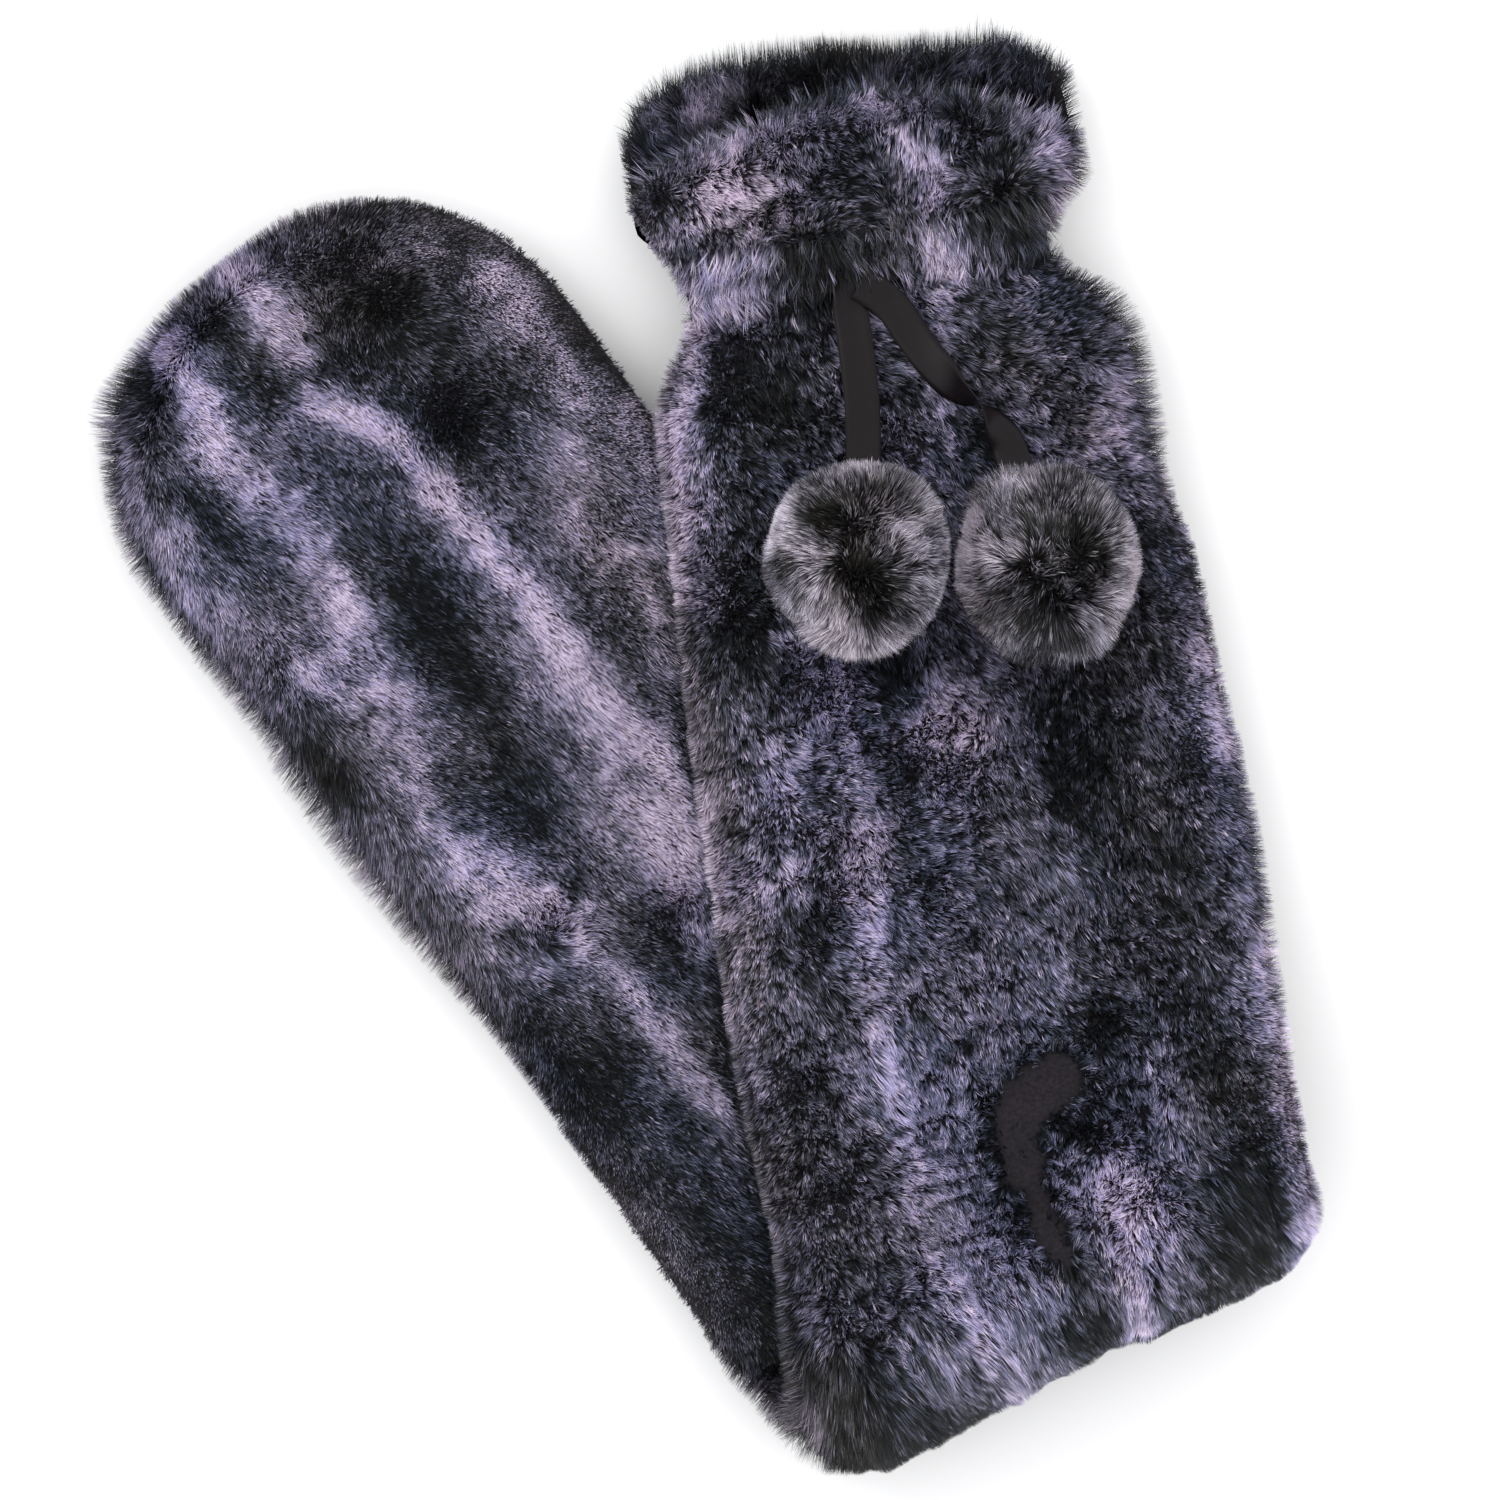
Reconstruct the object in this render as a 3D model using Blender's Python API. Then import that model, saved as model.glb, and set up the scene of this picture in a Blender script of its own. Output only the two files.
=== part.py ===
"""A long faux-fur hot water bottle cover, folded once, its upper leaf lying over its lower one.

The cover is worked out flat, as it is cut, and all lengths are in millimetres until a mesh is made:
  along   up the strip from the fold, towards the collar; negative towards the round end
  across  to the right of the strip's middle, with the front panel uppermost
  height  off the mid-plane between the two panels, positive towards the front panel
fold() gives the place of such a point once the strip is folded in two and has settled on a table.
On the upper leaf the front panel shows, and on the lower leaf the back panel does.
"""

import math

import bmesh
import bpy
import numpy as np
from mathutils.bvhtree import BVHTree

MM = 0.001


def columns(names, rows):
    """A table as one array for each named column."""
    return dict(zip(names.split(), np.array(rows, float).T))


# The folded strip
LEAF_THICKNESS = 34.0  # two panels with their pile and the pocket between them
LEAF_GAP = 2.0  # between the leaves, where one lies on the other
FOLD_SLANT = math.radians(13.5)  # how far the fold is off square across the strip
FOLD_CENTRE = (69.2, -158.0)  # where the strip's middle crosses the fold, on the table
FOLD_RADIUS = (LEAF_THICKNESS + LEAF_GAP) / 2
FOLD_AXIS_HEIGHT = LEAF_THICKNESS + LEAF_GAP / 2
QUARTER_TURN = math.pi / 2

# Past the lower leaf's edge nothing holds the upper leaf up, so it slopes down to the table.
SAG_DROP = LEAF_THICKNESS + LEAF_GAP
SAG_FROM, SAG_TO = -12.0, 62.0  # distances outside the lower leaf's edge
NECK_SAG_FROM, NECK_SAG_TO = 284.0, 316.0  # the neck and collar lie on the table
ABOVE_ALL = 300.0  # a height over the whole cover

# The panels
SEAM_GAP = 0.5
SEAM_WIDTH = 16.0  # from the tips of the pile in to the pocket
EDGE_ROUND = 26.0  # from the edge in to the leaf's full thickness
POCKET_ROUND = 14.0
ROUND_START, ROUND_LENGTH, ROUND_POWER = -336.0, 70.0, 2.2
OUTLINE = columns(
    "along left right",
    [
        (-336, -80, 70),
        (-280, -78, 69),
        (-230, -79, 70),
        (-172, -80, 72),
        (-120, -84, 75),
        (-66, -86, 78),
        (-23, -81, 79),
        (27, -80, 79),
        (93, -82, 79),
        (150, -80, 81),
        (220, -76, 79),
        (255, -73, 72),
        (290, -70, 69),
        (304, -64, 64),
        (317, -56, 53),
        (327, -56, 53),
        (342, -64, 64),
        (355, -69, 67),
        (368, -68, 67),
        (392, -66, 65),
    ],
)
BUILD_UP = columns(
    "along thickness pocket",
    [
        (-406, 34, 9),
        (284, 34, 9),
        (304, 29, 8),
        (317, 23, 7),
        (327, 23, 7),
        (340, 32, 9),
        (356, 34, 13),
        (392, 30, 16),
    ],
)
RIM = columns(
    "across front back",
    [
        (-70, 357, 373),
        (-60, 365, 383),
        (-50, 369, 389),
        (-38, 371, 391),
        (-22, 374, 392),
        (-10, 378, 392),
        (12, 377, 388),
        (28, 373, 386),
        (42, 367, 386),
        (54, 362, 383),
        (70, 356, 372),
    ],
)
COLLAR_START = 327.0  # from here up, the rows of a panel lean over to its rim

# Bulges and hollows of the sides that show: gaussian in both directions
LUMPS = columns(
    "front along across length width turn rise",
    [
        (1, 340, 42, 17, 18, 0, 4.0),  # gathered bulges of the collar
        (1, 336, -22, 14, 20, 0, 3.0),
        (1, 350, 4, 26, 9, 8, -5.0),
        (1, 322, -42, 8, 22, 0, -1.5),
        (1, 202, -19, 26, 9, 4, -4.0),  # long hollows down the upper leaf
        (1, 172, 27, 28, 10, -8, -4.0),
        (1, 85, 29, 12, 22, 10, -3.0),
        (1, 78, 5, 8, 26, 30, -4.0),  # the two arms of the parting
        (1, 47, -4, 30, 7, 4, -4.0),
        (1, 40, -40, 7, 42, -12, -2.0),
        (1, 120, -52, 60, 20, 0, 2.0),
        (1, 36, 54, 26, 22, 0, 2.0),
        (0, -186, -48, 12, 16, 20, -4.0),  # whorls of the lower leaf
        (0, -166, -15, 14, 14, -20, -4.0),
        (0, -282, -19, 24, 14, 10, -2.5),
        (0, -226, -36, 34, 12, 10, -2.5),
        (0, -360, 20, 26, 18, 0, 2.0),
    ],
)
LUMPS_FROM, LUMPS_TO = 10.0, 34.0  # they start this far from the fold

# The ribbon
NECK_ALONG = 322.0
RIBBON_WIDTH = 9.0
RIBBON_THICKNESS = 1.0
RIBBON_LIFT = 0.6  # from the pile up to the loop round the neck
KNOT_PLACE = (320.0, -6.0)
KNOT_SIZE = (8.0, 6.5, 4.0)  # half of its width, height up the strip and thickness
KNOT_LIFT = 4.8
TAIL_WIDTH = 10.5
TAIL_STEPS = 2  # pieces of ribbon for each row of a route
TAILS = {
    "left": columns(
        "along across lift roll",
        [
            (319, -6, 4.5, 0),
            (312, -9, 2.6, 0),
            (300, -9.5, 1.6, 0),
            (286, -10.5, 2.2, -4),
            (275, -12, 3.6, -4),
            (266, -13.8, 7.0, 0),
            (258.6, -15.4, 9.6, 0),
        ],
    ),
    "right": columns(
        "along across lift roll",
        [
            (319, -5, 5.2, 0),
            (311, 3, 3.0, 0),
            (300, 8, 1.8, 0),
            (290, 13, 2.8, 12),
            (282, 18, 5.6, 48),
            (276.5, 23.5, 6.6, 90),
            (270.5, 27, 5.4, 140),
            (264, 29.4, 4.8, 172),
            (258, 30.3, 6.8, 180),
            (253.0, 31.1, 8.6, 180),
        ],
    ),
}

# The pompoms
POMPOM_RADIUS = 28.5
POMPOM_RISE = 21.0  # of its middle above the pile that it sinks into
POMPOM_LIFT = 1.05
POMPOMS = columns("right along across", [(0, 239, -20.5), (1, 227, 34.5)])

# The mesh
GRID_COLUMNS = 15
SKEWED_TO, SQUARE_FROM = 50.0, 170.0  # rows run with the fold near it, and square across further off


def joined(*stretches):
    """Places along the strip: each stretch is its first place, its last and the number of steps."""
    parts = [np.linspace(first, last, steps, endpoint=False) for first, last, steps in stretches]
    return np.concatenate(parts + [[stretches[-1][1]]])


ROUND_ROWS = ROUND_START - ROUND_LENGTH * np.array([0.993, 0.965, 0.915, 0.845, 0.745, 0.6, 0.43, 0.23])
BODY_ROWS = joined((-336, -72, 11), (-72, 72, 16), (72, 284, 9), (284, 312, 4), (312, COLLAR_START, 3))
COLLAR_SHARES = np.array([0.13, 0.28, 0.45, 0.64, 0.82, 0.94, 1.0])


# Curves and surfaces of the flat strip


def read(table, column, at, key="along"):
    """A smooth curve through one column of a table, with no overshoot."""
    known, value = table[key], table[column]
    step, slope = np.diff(known), np.zeros_like(known)
    rise = np.diff(value) / step
    before, after = rise[:-1], rise[1:]
    same = before * after > 0
    slope[1:-1][same] = 2 * before[same] * after[same] / (before + after)[same]
    i = np.clip(np.searchsorted(known, at) - 1, 0, len(step) - 1)
    t = np.clip((at - known[i]) / step[i], 0, 1)
    ends = value[i] * (1 + 2 * t) * (1 - t) ** 2 + value[i + 1] * t**2 * (3 - 2 * t)
    return ends + step[i] * (slope[i] * t * (1 - t) ** 2 - slope[i + 1] * t**2 * (1 - t))


def eased(value, start, end):
    """0 before start, 1 after end, and a smooth rise between them."""
    t = np.clip((value - start) / (end - start), 0, 1)
    return t * t * (3 - 2 * t)


def bowed(share):
    """0 at the edge and 1 from a share of 1 on, as a quarter of an ellipse."""
    return np.sqrt(1 - (1 - np.clip(share, 0, 1)) ** 2)


def edges(along):
    """The strip's left and right edges."""
    left, right = read(OUTLINE, "left", along), read(OUTLINE, "right", along)
    into_end = np.clip((ROUND_START - along) / ROUND_LENGTH, 0, 1)
    half = (right - left) / 2 * (1 - into_end**ROUND_POWER) ** (1 / ROUND_POWER)
    return (left + right) / 2 - half, (left + right) / 2 + half


def outline_points(spacing=2.0):
    """Points along both edges and round the end."""
    turn = np.linspace(QUARTER_TURN, 0, 60)
    straight = np.arange(ROUND_START, OUTLINE["along"][-1], spacing)
    along = np.concatenate([ROUND_START - ROUND_LENGTH * np.sin(turn), straight])
    left, right = edges(along)
    return np.concatenate([along, along]), np.concatenate([left, right])


EDGE_ALONG, EDGE_ACROSS = outline_points()


def inset(along, across):
    """The distance in from the nearest edge."""
    off = np.hypot(along[..., None] - EDGE_ALONG, across[..., None] - EDGE_ACROSS)
    return off.min(axis=-1)


def lumps(is_front, along, across):
    """The bulges and hollows of one panel, on the leaf where it shows."""
    rise = np.zeros(np.broadcast(along, across).shape)
    rows = zip(*LUMPS.values())
    for front, at_along, at_across, length, width, turn, height in rows:
        if bool(front) != is_front:
            continue
        c, s = math.cos(math.radians(turn)), math.sin(math.radians(turn))
        u, v = along - at_along, across - at_across
        rise += height * np.exp(-(((u * c + v * s) / length) ** 2) - ((v * c - u * s) / width) ** 2)
    shown = along if is_front else -along
    return rise * eased(shown, LUMPS_FROM, LUMPS_TO)


def outer_height(is_front, along, across):
    """How far the tips of a panel's pile are from the mid-plane."""
    rounding = bowed(inset(along, across) / EDGE_ROUND)
    return rounding * (read(BUILD_UP, "thickness", along) / 2 + lumps(is_front, along, across))


def inner_height(along, across):
    """How far a panel's inner face is from the mid-plane."""
    opening = bowed((inset(along, across) - SEAM_WIDTH) / POCKET_ROUND)
    return opening * read(BUILD_UP, "pocket", along) / 2


# Folding


def fold(along, across, height):
    """The place on the table of a point of the flat strip, in millimetres."""
    cos, sin = math.cos(FOLD_SLANT), math.sin(FOLD_SLANT)
    ahead = along * cos - across * sin
    beside = along * sin + across * cos
    turn = np.clip(ahead / FOLD_RADIUS, -QUARTER_TURN, QUARTER_TURN)
    inward = np.maximum(np.abs(ahead) - QUARTER_TURN * FOLD_RADIUS, 0)
    inward = inward - (FOLD_RADIUS + height) * np.cos(turn)
    x = beside * cos - inward * sin
    y = beside * sin + inward * cos
    z = FOLD_AXIS_HEIGHT + (FOLD_RADIUS + height) * np.sin(turn)
    z = z - sag(x, y, along) * (1 + np.sin(turn)) / 2
    return np.stack([x + FOLD_CENTRE[0], y + FOLD_CENTRE[1], z], axis=-1)


def sag(x, y, along):
    """How far the upper leaf has dropped: it lies on the lower leaf, and past it on the table."""
    cos, sin = math.cos(FOLD_SLANT), math.sin(FOLD_SLANT)
    ahead = x * sin - y * cos - QUARTER_TURN * FOLD_RADIUS
    beside = x * cos + y * sin
    below_along, below_across = ahead * cos + beside * sin, beside * cos - ahead * sin
    outside = below_across - edges(np.minimum(below_along, 0))[1]
    held = 1 - eased(outside, SAG_FROM, SAG_TO)
    return SAG_DROP * (1 - held * (1 - eased(along, NECK_SAG_FROM, NECK_SAG_TO)))


def resting_on(panel, place, lift):
    """These points, moved up or down to lie this far above the top of a panel's mesh."""
    tree = BVHTree.FromPolygons(
        [v.co / MM for v in panel.data.vertices], [f.vertices for f in panel.data.polygons]
    )
    rested = np.array(place, float)
    for point, rise in zip(rested, np.broadcast_to(lift, len(rested))):
        top = tree.ray_cast((point[0], point[1], ABOVE_ALL), (0, 0, -1))[0]
        point[2] = top.z + rise if top else -ABOVE_ALL
    return rested


# Meshes


def add_object(name, points, faces, colour, roughness):
    """A smooth-shaded object with its own material; points are in millimetres."""
    mesh = bpy.data.meshes.new(name)
    mesh.from_pydata([tuple(p) for p in np.asarray(points, float) * MM], [], faces)
    mesh.shade_smooth()
    mesh.set_sharp_from_angle(angle=math.radians(50))
    material = bpy.data.materials.new(name)
    material.use_nodes = True
    shader = material.node_tree.nodes["Principled BSDF"]
    shader.inputs["Base Color"].default_value = (*colour, 1.0)
    shader.inputs["Roughness"].default_value = roughness
    mesh.materials.append(material)
    made = bpy.data.objects.new(name, mesh)
    bpy.context.scene.collection.objects.link(made)
    return made


def panel_grid(rim):
    """The along and across of a panel's grid, a row for each place up the strip."""
    spread = np.sin(np.linspace(-QUARTER_TURN, QUARTER_TURN, GRID_COLUMNS))
    body = np.concatenate([ROUND_ROWS, BODY_ROWS])
    mean_rim = RIM[rim].mean()
    middle = np.concatenate([body, COLLAR_START + (mean_rim - COLLAR_START) * COLLAR_SHARES])
    left, right = edges(middle)
    across = (left + right)[:, None] / 2 + (right - left)[:, None] / 2 * spread
    skew = 1 - eased(np.abs(middle), SKEWED_TO, SQUARE_FROM)
    along = middle[:, None] + across * math.tan(FOLD_SLANT) * skew[:, None]
    collar = across[len(body):]
    reach = read(RIM, rim, collar, key="across") - COLLAR_START
    along[len(body):] = COLLAR_START + reach * COLLAR_SHARES[:, None]
    return along, across


def sheet_faces(rows, cols):
    """Triangles of a closed sheet: an outer grid, and an inner one that shares its two side columns."""
    outer = np.arange(rows * cols).reshape(rows, cols)
    inner = outer.copy()
    inner[:, 1:-1] = rows * cols + np.arange(rows * (cols - 2)).reshape(rows, cols - 2)
    faces = []
    for i in range(rows - 1):
        for j in range(cols - 1):
            for grid, turned in ((outer, False), (inner, True)):
                a, b, c, d = grid[i, j], grid[i, j + 1], grid[i + 1, j + 1], grid[i + 1, j]
                faces += [(a, d, c), (a, c, b)] if turned else [(a, b, c), (a, c, d)]
    for i, turned in ((0, True), (rows - 1, False)):
        for j in range(cols - 1):
            corners = [outer[i, j], outer[i, j + 1], inner[i, j + 1], inner[i, j]]
            corners = list(dict.fromkeys(corners))
            faces.append(tuple(corners[::-1] if turned else corners))
    return faces


def make_panel(name, is_front, colour):
    """One fur panel: a thick sheet from its inner face out to the tips of its pile."""
    along, across = panel_grid("front" if is_front else "back")
    side = 1 if is_front else -1
    seam = SEAM_GAP / 2
    outer = outer_height(is_front, along, across)
    inner = inner_height(along, across)
    outer[:, [0, -1]] = 0
    inner = np.minimum(inner, outer)
    outer_points = fold(along, across, side * (outer + seam))
    inner_points = fold(along, across, side * (inner + seam))[:, 1:-1]
    points = np.concatenate([outer_points.reshape(-1, 3), inner_points.reshape(-1, 3)])
    points[:, 2] = np.maximum(points[:, 2], 0)
    faces = sheet_faces(*along.shape)
    if not is_front:
        faces = [face[::-1] for face in faces]
    return add_object(name, points, faces, colour, roughness=0.9)


def swept_strip(path, side, width, closed):
    """Points and faces of a strip of ribbon along a path, with its width in the direction of side."""
    ahead = np.roll(path, -1, axis=0) - np.roll(path, 1, axis=0)
    if not closed:
        ahead[0], ahead[-1] = path[1] - path[0], path[-1] - path[-2]
    side = side - ahead * ((side * ahead).sum(1) / (ahead**2).sum(1))[:, None]
    side /= np.linalg.norm(side, axis=1)[:, None]
    up = np.cross(side, ahead)
    up /= np.linalg.norm(up, axis=1)[:, None]
    half_width, half_thickness = width / 2, RIBBON_THICKNESS / 2
    corners = [(-1, -1), (1, -1), (1, 1), (-1, 1)]
    points = [path + s * half_width * side + u * half_thickness * up for s, u in corners]
    points = np.stack(points, axis=1).reshape(-1, 3)
    count, faces = len(path), []
    for i in range(count if closed else count - 1):
        a, b = 4 * i, 4 * ((i + 1) % count)
        faces += [(a + k, b + k, b + (k + 1) % 4, a + (k + 1) % 4) for k in range(4)]
    if not closed:
        last = 4 * (count - 1)
        faces += [(0, 1, 2, 3), (last + 3, last + 2, last + 1, last)]
    return points, faces


def facing_out(made):
    """Turns an object's faces outwards."""
    shape = bmesh.new()
    shape.from_mesh(made.data)
    bmesh.ops.recalc_face_normals(shape, faces=shape.faces)
    shape.to_mesh(made.data)
    shape.free()
    return made


def neck_loop():
    """The ribbon's run round the neck, a little clear of both panels."""
    spread = np.sin(np.linspace(-QUARTER_TURN, QUARTER_TURN, GRID_COLUMNS))
    left, right = edges(np.array(NECK_ALONG))
    across = (left + right) / 2 + (right - left) / 2 * spread
    along = np.full_like(across, NECK_ALONG)
    under = along + RIBBON_WIDTH / 2 * np.array([[-1], [0], [1]])
    front, back = (outer_height(is_front, under, across).max(axis=0) for is_front in (True, False))
    ring = np.concatenate([np.stack([across, front], 1), np.stack([across, -back], 1)[-2:0:-1]])
    ring[0, 1] = ring[GRID_COLUMNS - 1, 1] = 0
    ahead = np.roll(ring, -1, axis=0) - np.roll(ring, 1, axis=0)
    outward = np.stack([-ahead[:, 1], ahead[:, 0]], 1) / np.linalg.norm(ahead, axis=1)[:, None]
    ring += outward * (RIBBON_LIFT + RIBBON_THICKNESS / 2 + SEAM_GAP / 2)
    path = fold(np.full(len(ring), NECK_ALONG), ring[:, 0], ring[:, 1])
    return swept_strip(path, np.tile([0.0, 1.0, 0.0], (len(path), 1)), RIBBON_WIDTH, closed=True)


def tail(route, panel):
    """One hanging end of the ribbon, over the front panel."""
    stations = np.arange(len(route["along"]), dtype=float)
    route = route | {"station": stations}
    finer = np.linspace(0, stations[-1], TAIL_STEPS * len(stations))
    along, across, lift, roll = (
        read(route, name, finer, key="station") for name in ("along", "across", "lift", "roll")
    )
    path = resting_on(panel, fold(along, across, LEAF_THICKNESS / 2), lift)
    ahead = np.gradient(path, axis=0)
    level = np.cross([0.0, 0.0, 1.0], ahead)
    level /= np.linalg.norm(level, axis=1)[:, None]
    up = np.cross(ahead, level)
    up /= np.linalg.norm(up, axis=1)[:, None]
    roll = np.radians(roll)[:, None]
    return swept_strip(path, level * np.cos(roll) + up * np.sin(roll), TAIL_WIDTH, closed=False)


def ball(centre, radii, subdivisions):
    """Points and faces of a ball of triangles."""
    shape = bmesh.new()
    bmesh.ops.create_icosphere(shape, subdivisions=subdivisions, radius=1.0)
    points = np.array([v.co for v in shape.verts]) * radii + centre
    faces = [tuple(v.index for v in face.verts) for face in shape.faces]
    shape.free()
    return points, faces


def make_ribbon(panel, colour):
    """The loop round the neck, the knot and both ends, as one ribbon."""
    along, across = (np.array([value]) for value in KNOT_PLACE)
    knot_centre = resting_on(panel, fold(along, across, LEAF_THICKNESS / 2), KNOT_LIFT)
    knot = ball(knot_centre, KNOT_SIZE, subdivisions=2)
    ribbon = facing_out(add_object("ribbon", *neck_loop(), colour, roughness=0.35))
    ends = {f"{side}_end": tail(route, panel) for side, route in TAILS.items()}
    for name, shape in ({"knot": knot} | ends).items():
        piece = facing_out(add_object(name, *shape, colour, roughness=0.35))
        piece.hide_render = True
        piece.display_type = "WIRE"
        union = ribbon.modifiers.new(name, "BOOLEAN")
        union.operation = "UNION"
        union.object = piece
    return ribbon


def make_pompom(name, along, across, panel, colour):
    """A ball of pile that lies on the front panel and is pressed flat where it meets it."""
    place = fold(np.array([along]), np.array([across]), LEAF_THICKNESS / 2)
    centre = resting_on(panel, place, POMPOM_RISE)
    points, faces = ball(centre, (POMPOM_RADIUS,) * 3, subdivisions=3)
    points = np.maximum(points, resting_on(panel, points, POMPOM_LIFT))
    return facing_out(add_object(name, points, faces, colour, roughness=0.9))


def main():
    for old in list(bpy.data.objects):
        bpy.data.objects.remove(old)
    charcoal, taupe, ash = (0.06, 0.06, 0.075), (0.035, 0.028, 0.032), (0.075, 0.075, 0.08)
    front = make_panel("front_panel", True, charcoal)
    make_panel("back_panel", False, charcoal)
    make_ribbon(front, taupe)
    for right, along, across in zip(*POMPOMS.values()):
        make_pompom("pompom_right" if right else "pompom_left", along, across, front, ash)


main()
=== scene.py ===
"""The looks of a long faux-fur hot water bottle cover, folded once, with a satin ribbon and two pompoms.

The fur is worked out on the flat strip, in millimetres, and folded with it:
  along   up the strip from the fold, towards the collar; negative towards the round end
  across  to the right of the strip's middle, with the front panel uppermost
  height  off the mid-plane between the two panels, positive towards the front panel
Each panel is a sheet of backing cloth with its pile on it, as joined meshes of tapered hairs.
"""

import math

import bpy
import numpy as np
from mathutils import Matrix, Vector
from mathutils.bvhtree import BVHTree


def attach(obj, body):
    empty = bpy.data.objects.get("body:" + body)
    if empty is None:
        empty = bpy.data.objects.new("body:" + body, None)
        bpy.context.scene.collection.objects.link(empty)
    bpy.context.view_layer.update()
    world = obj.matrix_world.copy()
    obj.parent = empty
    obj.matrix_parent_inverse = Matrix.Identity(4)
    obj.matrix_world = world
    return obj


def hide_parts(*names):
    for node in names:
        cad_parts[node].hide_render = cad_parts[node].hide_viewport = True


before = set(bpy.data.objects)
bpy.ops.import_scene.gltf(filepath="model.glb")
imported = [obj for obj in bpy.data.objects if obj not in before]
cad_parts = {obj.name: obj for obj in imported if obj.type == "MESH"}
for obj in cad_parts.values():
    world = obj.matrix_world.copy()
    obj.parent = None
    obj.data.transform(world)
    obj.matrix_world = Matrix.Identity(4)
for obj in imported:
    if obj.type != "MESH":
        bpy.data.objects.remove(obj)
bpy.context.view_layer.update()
MM = 0.001
QUARTER_TURN = math.pi / 2


def columns(names, rows):
    """A table as one array for each named column."""
    return dict(zip(names.split(), np.array(rows, float).T))


# The folded strip, as it is built

LEAF_THICKNESS = 34.0
LEAF_GAP = 2.0
FOLD_SLANT = math.radians(13.5)
FOLD_CENTRE = (69.2, -158.0)
FOLD_RADIUS = (LEAF_THICKNESS + LEAF_GAP) / 2
FOLD_AXIS_HEIGHT = LEAF_THICKNESS + LEAF_GAP / 2
SAG_DROP = LEAF_THICKNESS + LEAF_GAP
SAG_FROM, SAG_TO = -12.0, 62.0
NECK_SAG_FROM, NECK_SAG_TO = 284.0, 316.0
ABOVE_ALL = 300.0
SEAM_GAP = 0.5
EDGE_ROUND = 26.0
ROUND_START, ROUND_LENGTH, ROUND_POWER = -336.0, 70.0, 2.2
OUTLINE = columns(
    "along left right",
    [
        (-336, -80, 70), (-280, -78, 69), (-230, -79, 70), (-172, -80, 72), (-120, -84, 75),
        (-66, -86, 78), (-23, -81, 79), (27, -80, 79), (93, -82, 79), (150, -80, 81),
        (220, -76, 79), (255, -73, 72), (290, -70, 69), (304, -64, 64), (317, -56, 53),
        (327, -56, 53), (342, -64, 64), (355, -69, 67), (368, -68, 67), (392, -66, 65),
    ],
)
BUILD_UP = columns(
    "along thickness",
    [(-406, 34), (284, 34), (304, 29), (317, 23), (327, 23), (340, 32), (356, 34), (392, 30)],
)
RIM = columns(
    "across front back",
    [
        (-70, 357, 373), (-60, 365, 383), (-50, 369, 389), (-38, 371, 391), (-22, 374, 392),
        (-10, 378, 392), (12, 377, 388), (28, 373, 386), (42, 367, 386), (54, 362, 383),
        (70, 356, 372),
    ],
)
COLLAR_START = 327.0
LUMPS = columns(
    "front along across length width turn rise",
    [
        (1, 340, 42, 17, 18, 0, 4.0), (1, 336, -22, 14, 20, 0, 3.0), (1, 350, 4, 26, 9, 8, -5.0),
        (1, 322, -42, 8, 22, 0, -1.5), (1, 202, -19, 26, 9, 4, -4.0),
        (1, 172, 27, 28, 10, -8, -4.0), (1, 85, 29, 12, 22, 10, -3.0), (1, 78, 5, 8, 26, 30, -4.0),
        (1, 47, -4, 30, 7, 4, -4.0), (1, 40, -40, 7, 42, -12, -2.0), (1, 120, -52, 60, 20, 0, 2.0),
        (1, 36, 54, 26, 22, 0, 2.0), (0, -186, -48, 12, 16, 20, -4.0),
        (0, -166, -15, 14, 14, -20, -4.0), (0, -282, -19, 24, 14, 10, -2.5),
        (0, -226, -36, 34, 12, 10, -2.5), (0, -360, 20, 26, 18, 0, 2.0),
    ],
)
LUMPS_FROM, LUMPS_TO = 10.0, 34.0
NECK_ALONG = 322.0
RIBBON_WIDTH = 9.0
KNOT_PLACE = (320.0, -6.0)
KNOT_SIZE = (6.4, 5.2, 3.2)
KNOT_LIFT = 0.8
TAIL_WIDTH = 10.5
TAILS = {
    "left": columns(
        "along across lift roll",
        [
            (319, -6, 4.5, 0), (312, -9, 2.6, 0), (300, -9.5, 1.6, 0), (286, -10.5, 2.2, -4),
            (275, -12, 3.6, -4), (266, -13.8, 7.0, 0), (258.6, -15.4, 9.6, 0),
        ],
    ),
    "right": columns(
        "along across lift roll",
        [
            (319, -5, 5.2, 0), (311, 3, 3.0, 0), (300, 8, 1.8, 0), (290, 13, 2.8, 12),
            (282, 18, 5.6, 48), (276.5, 23.5, 6.6, 90), (270.5, 27, 5.4, 140),
            (264, 29.4, 4.8, 172), (258, 30.3, 6.8, 180), (253.0, 31.1, 8.6, 180),
        ],
    ),
}

# The backing cloth

CLOTH = 1.5  # thickness of the backing
PILE_MARGIN = 1.5  # from the cover's outline in to the backing's own edge
RIM_MARGIN = 5.0  # the same at the collar's rim
PILE_DEPTH = {True: 4.0, False: 3.1}  # from the outer surface in to the backing; True is the front panel
COLLAR_DEPTH = 4.6
BACKING_ROUND = 20.0
BACKING_COLUMNS, BACKING_STEP, COLLAR_ROWS = 31, 4.5, 10
ROUND_END_ROWS = np.array([0.995, 0.97, 0.92, 0.85, 0.75, 0.6, 0.42, 0.2])  # shares of the round's length
THIN_EDGE = 6  # from the backing's edge in to its full thickness
PARTING = [  # a bare place in the pile of the front panel: both ends of each stretch, and half its width
    ((77, 9), (71, -2), 7.2),
    ((69, -5), (51, -5), 5.0),
    ((51, -5), (29, 1), 3.2),
]
RIM_CURL = 6.0  # how far the back panel's rim stands up behind the mouth
CURL_BAND = (362, 392)  # up the strip, from where it starts to its full height
RIM_FRINGE = 5.4  # how far loose hair reaches past the collar's rim
END_FRINGE = 3.0  # the same past the round end
FRINGE = 4.0  # the same past the solid's left and right edges
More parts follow.
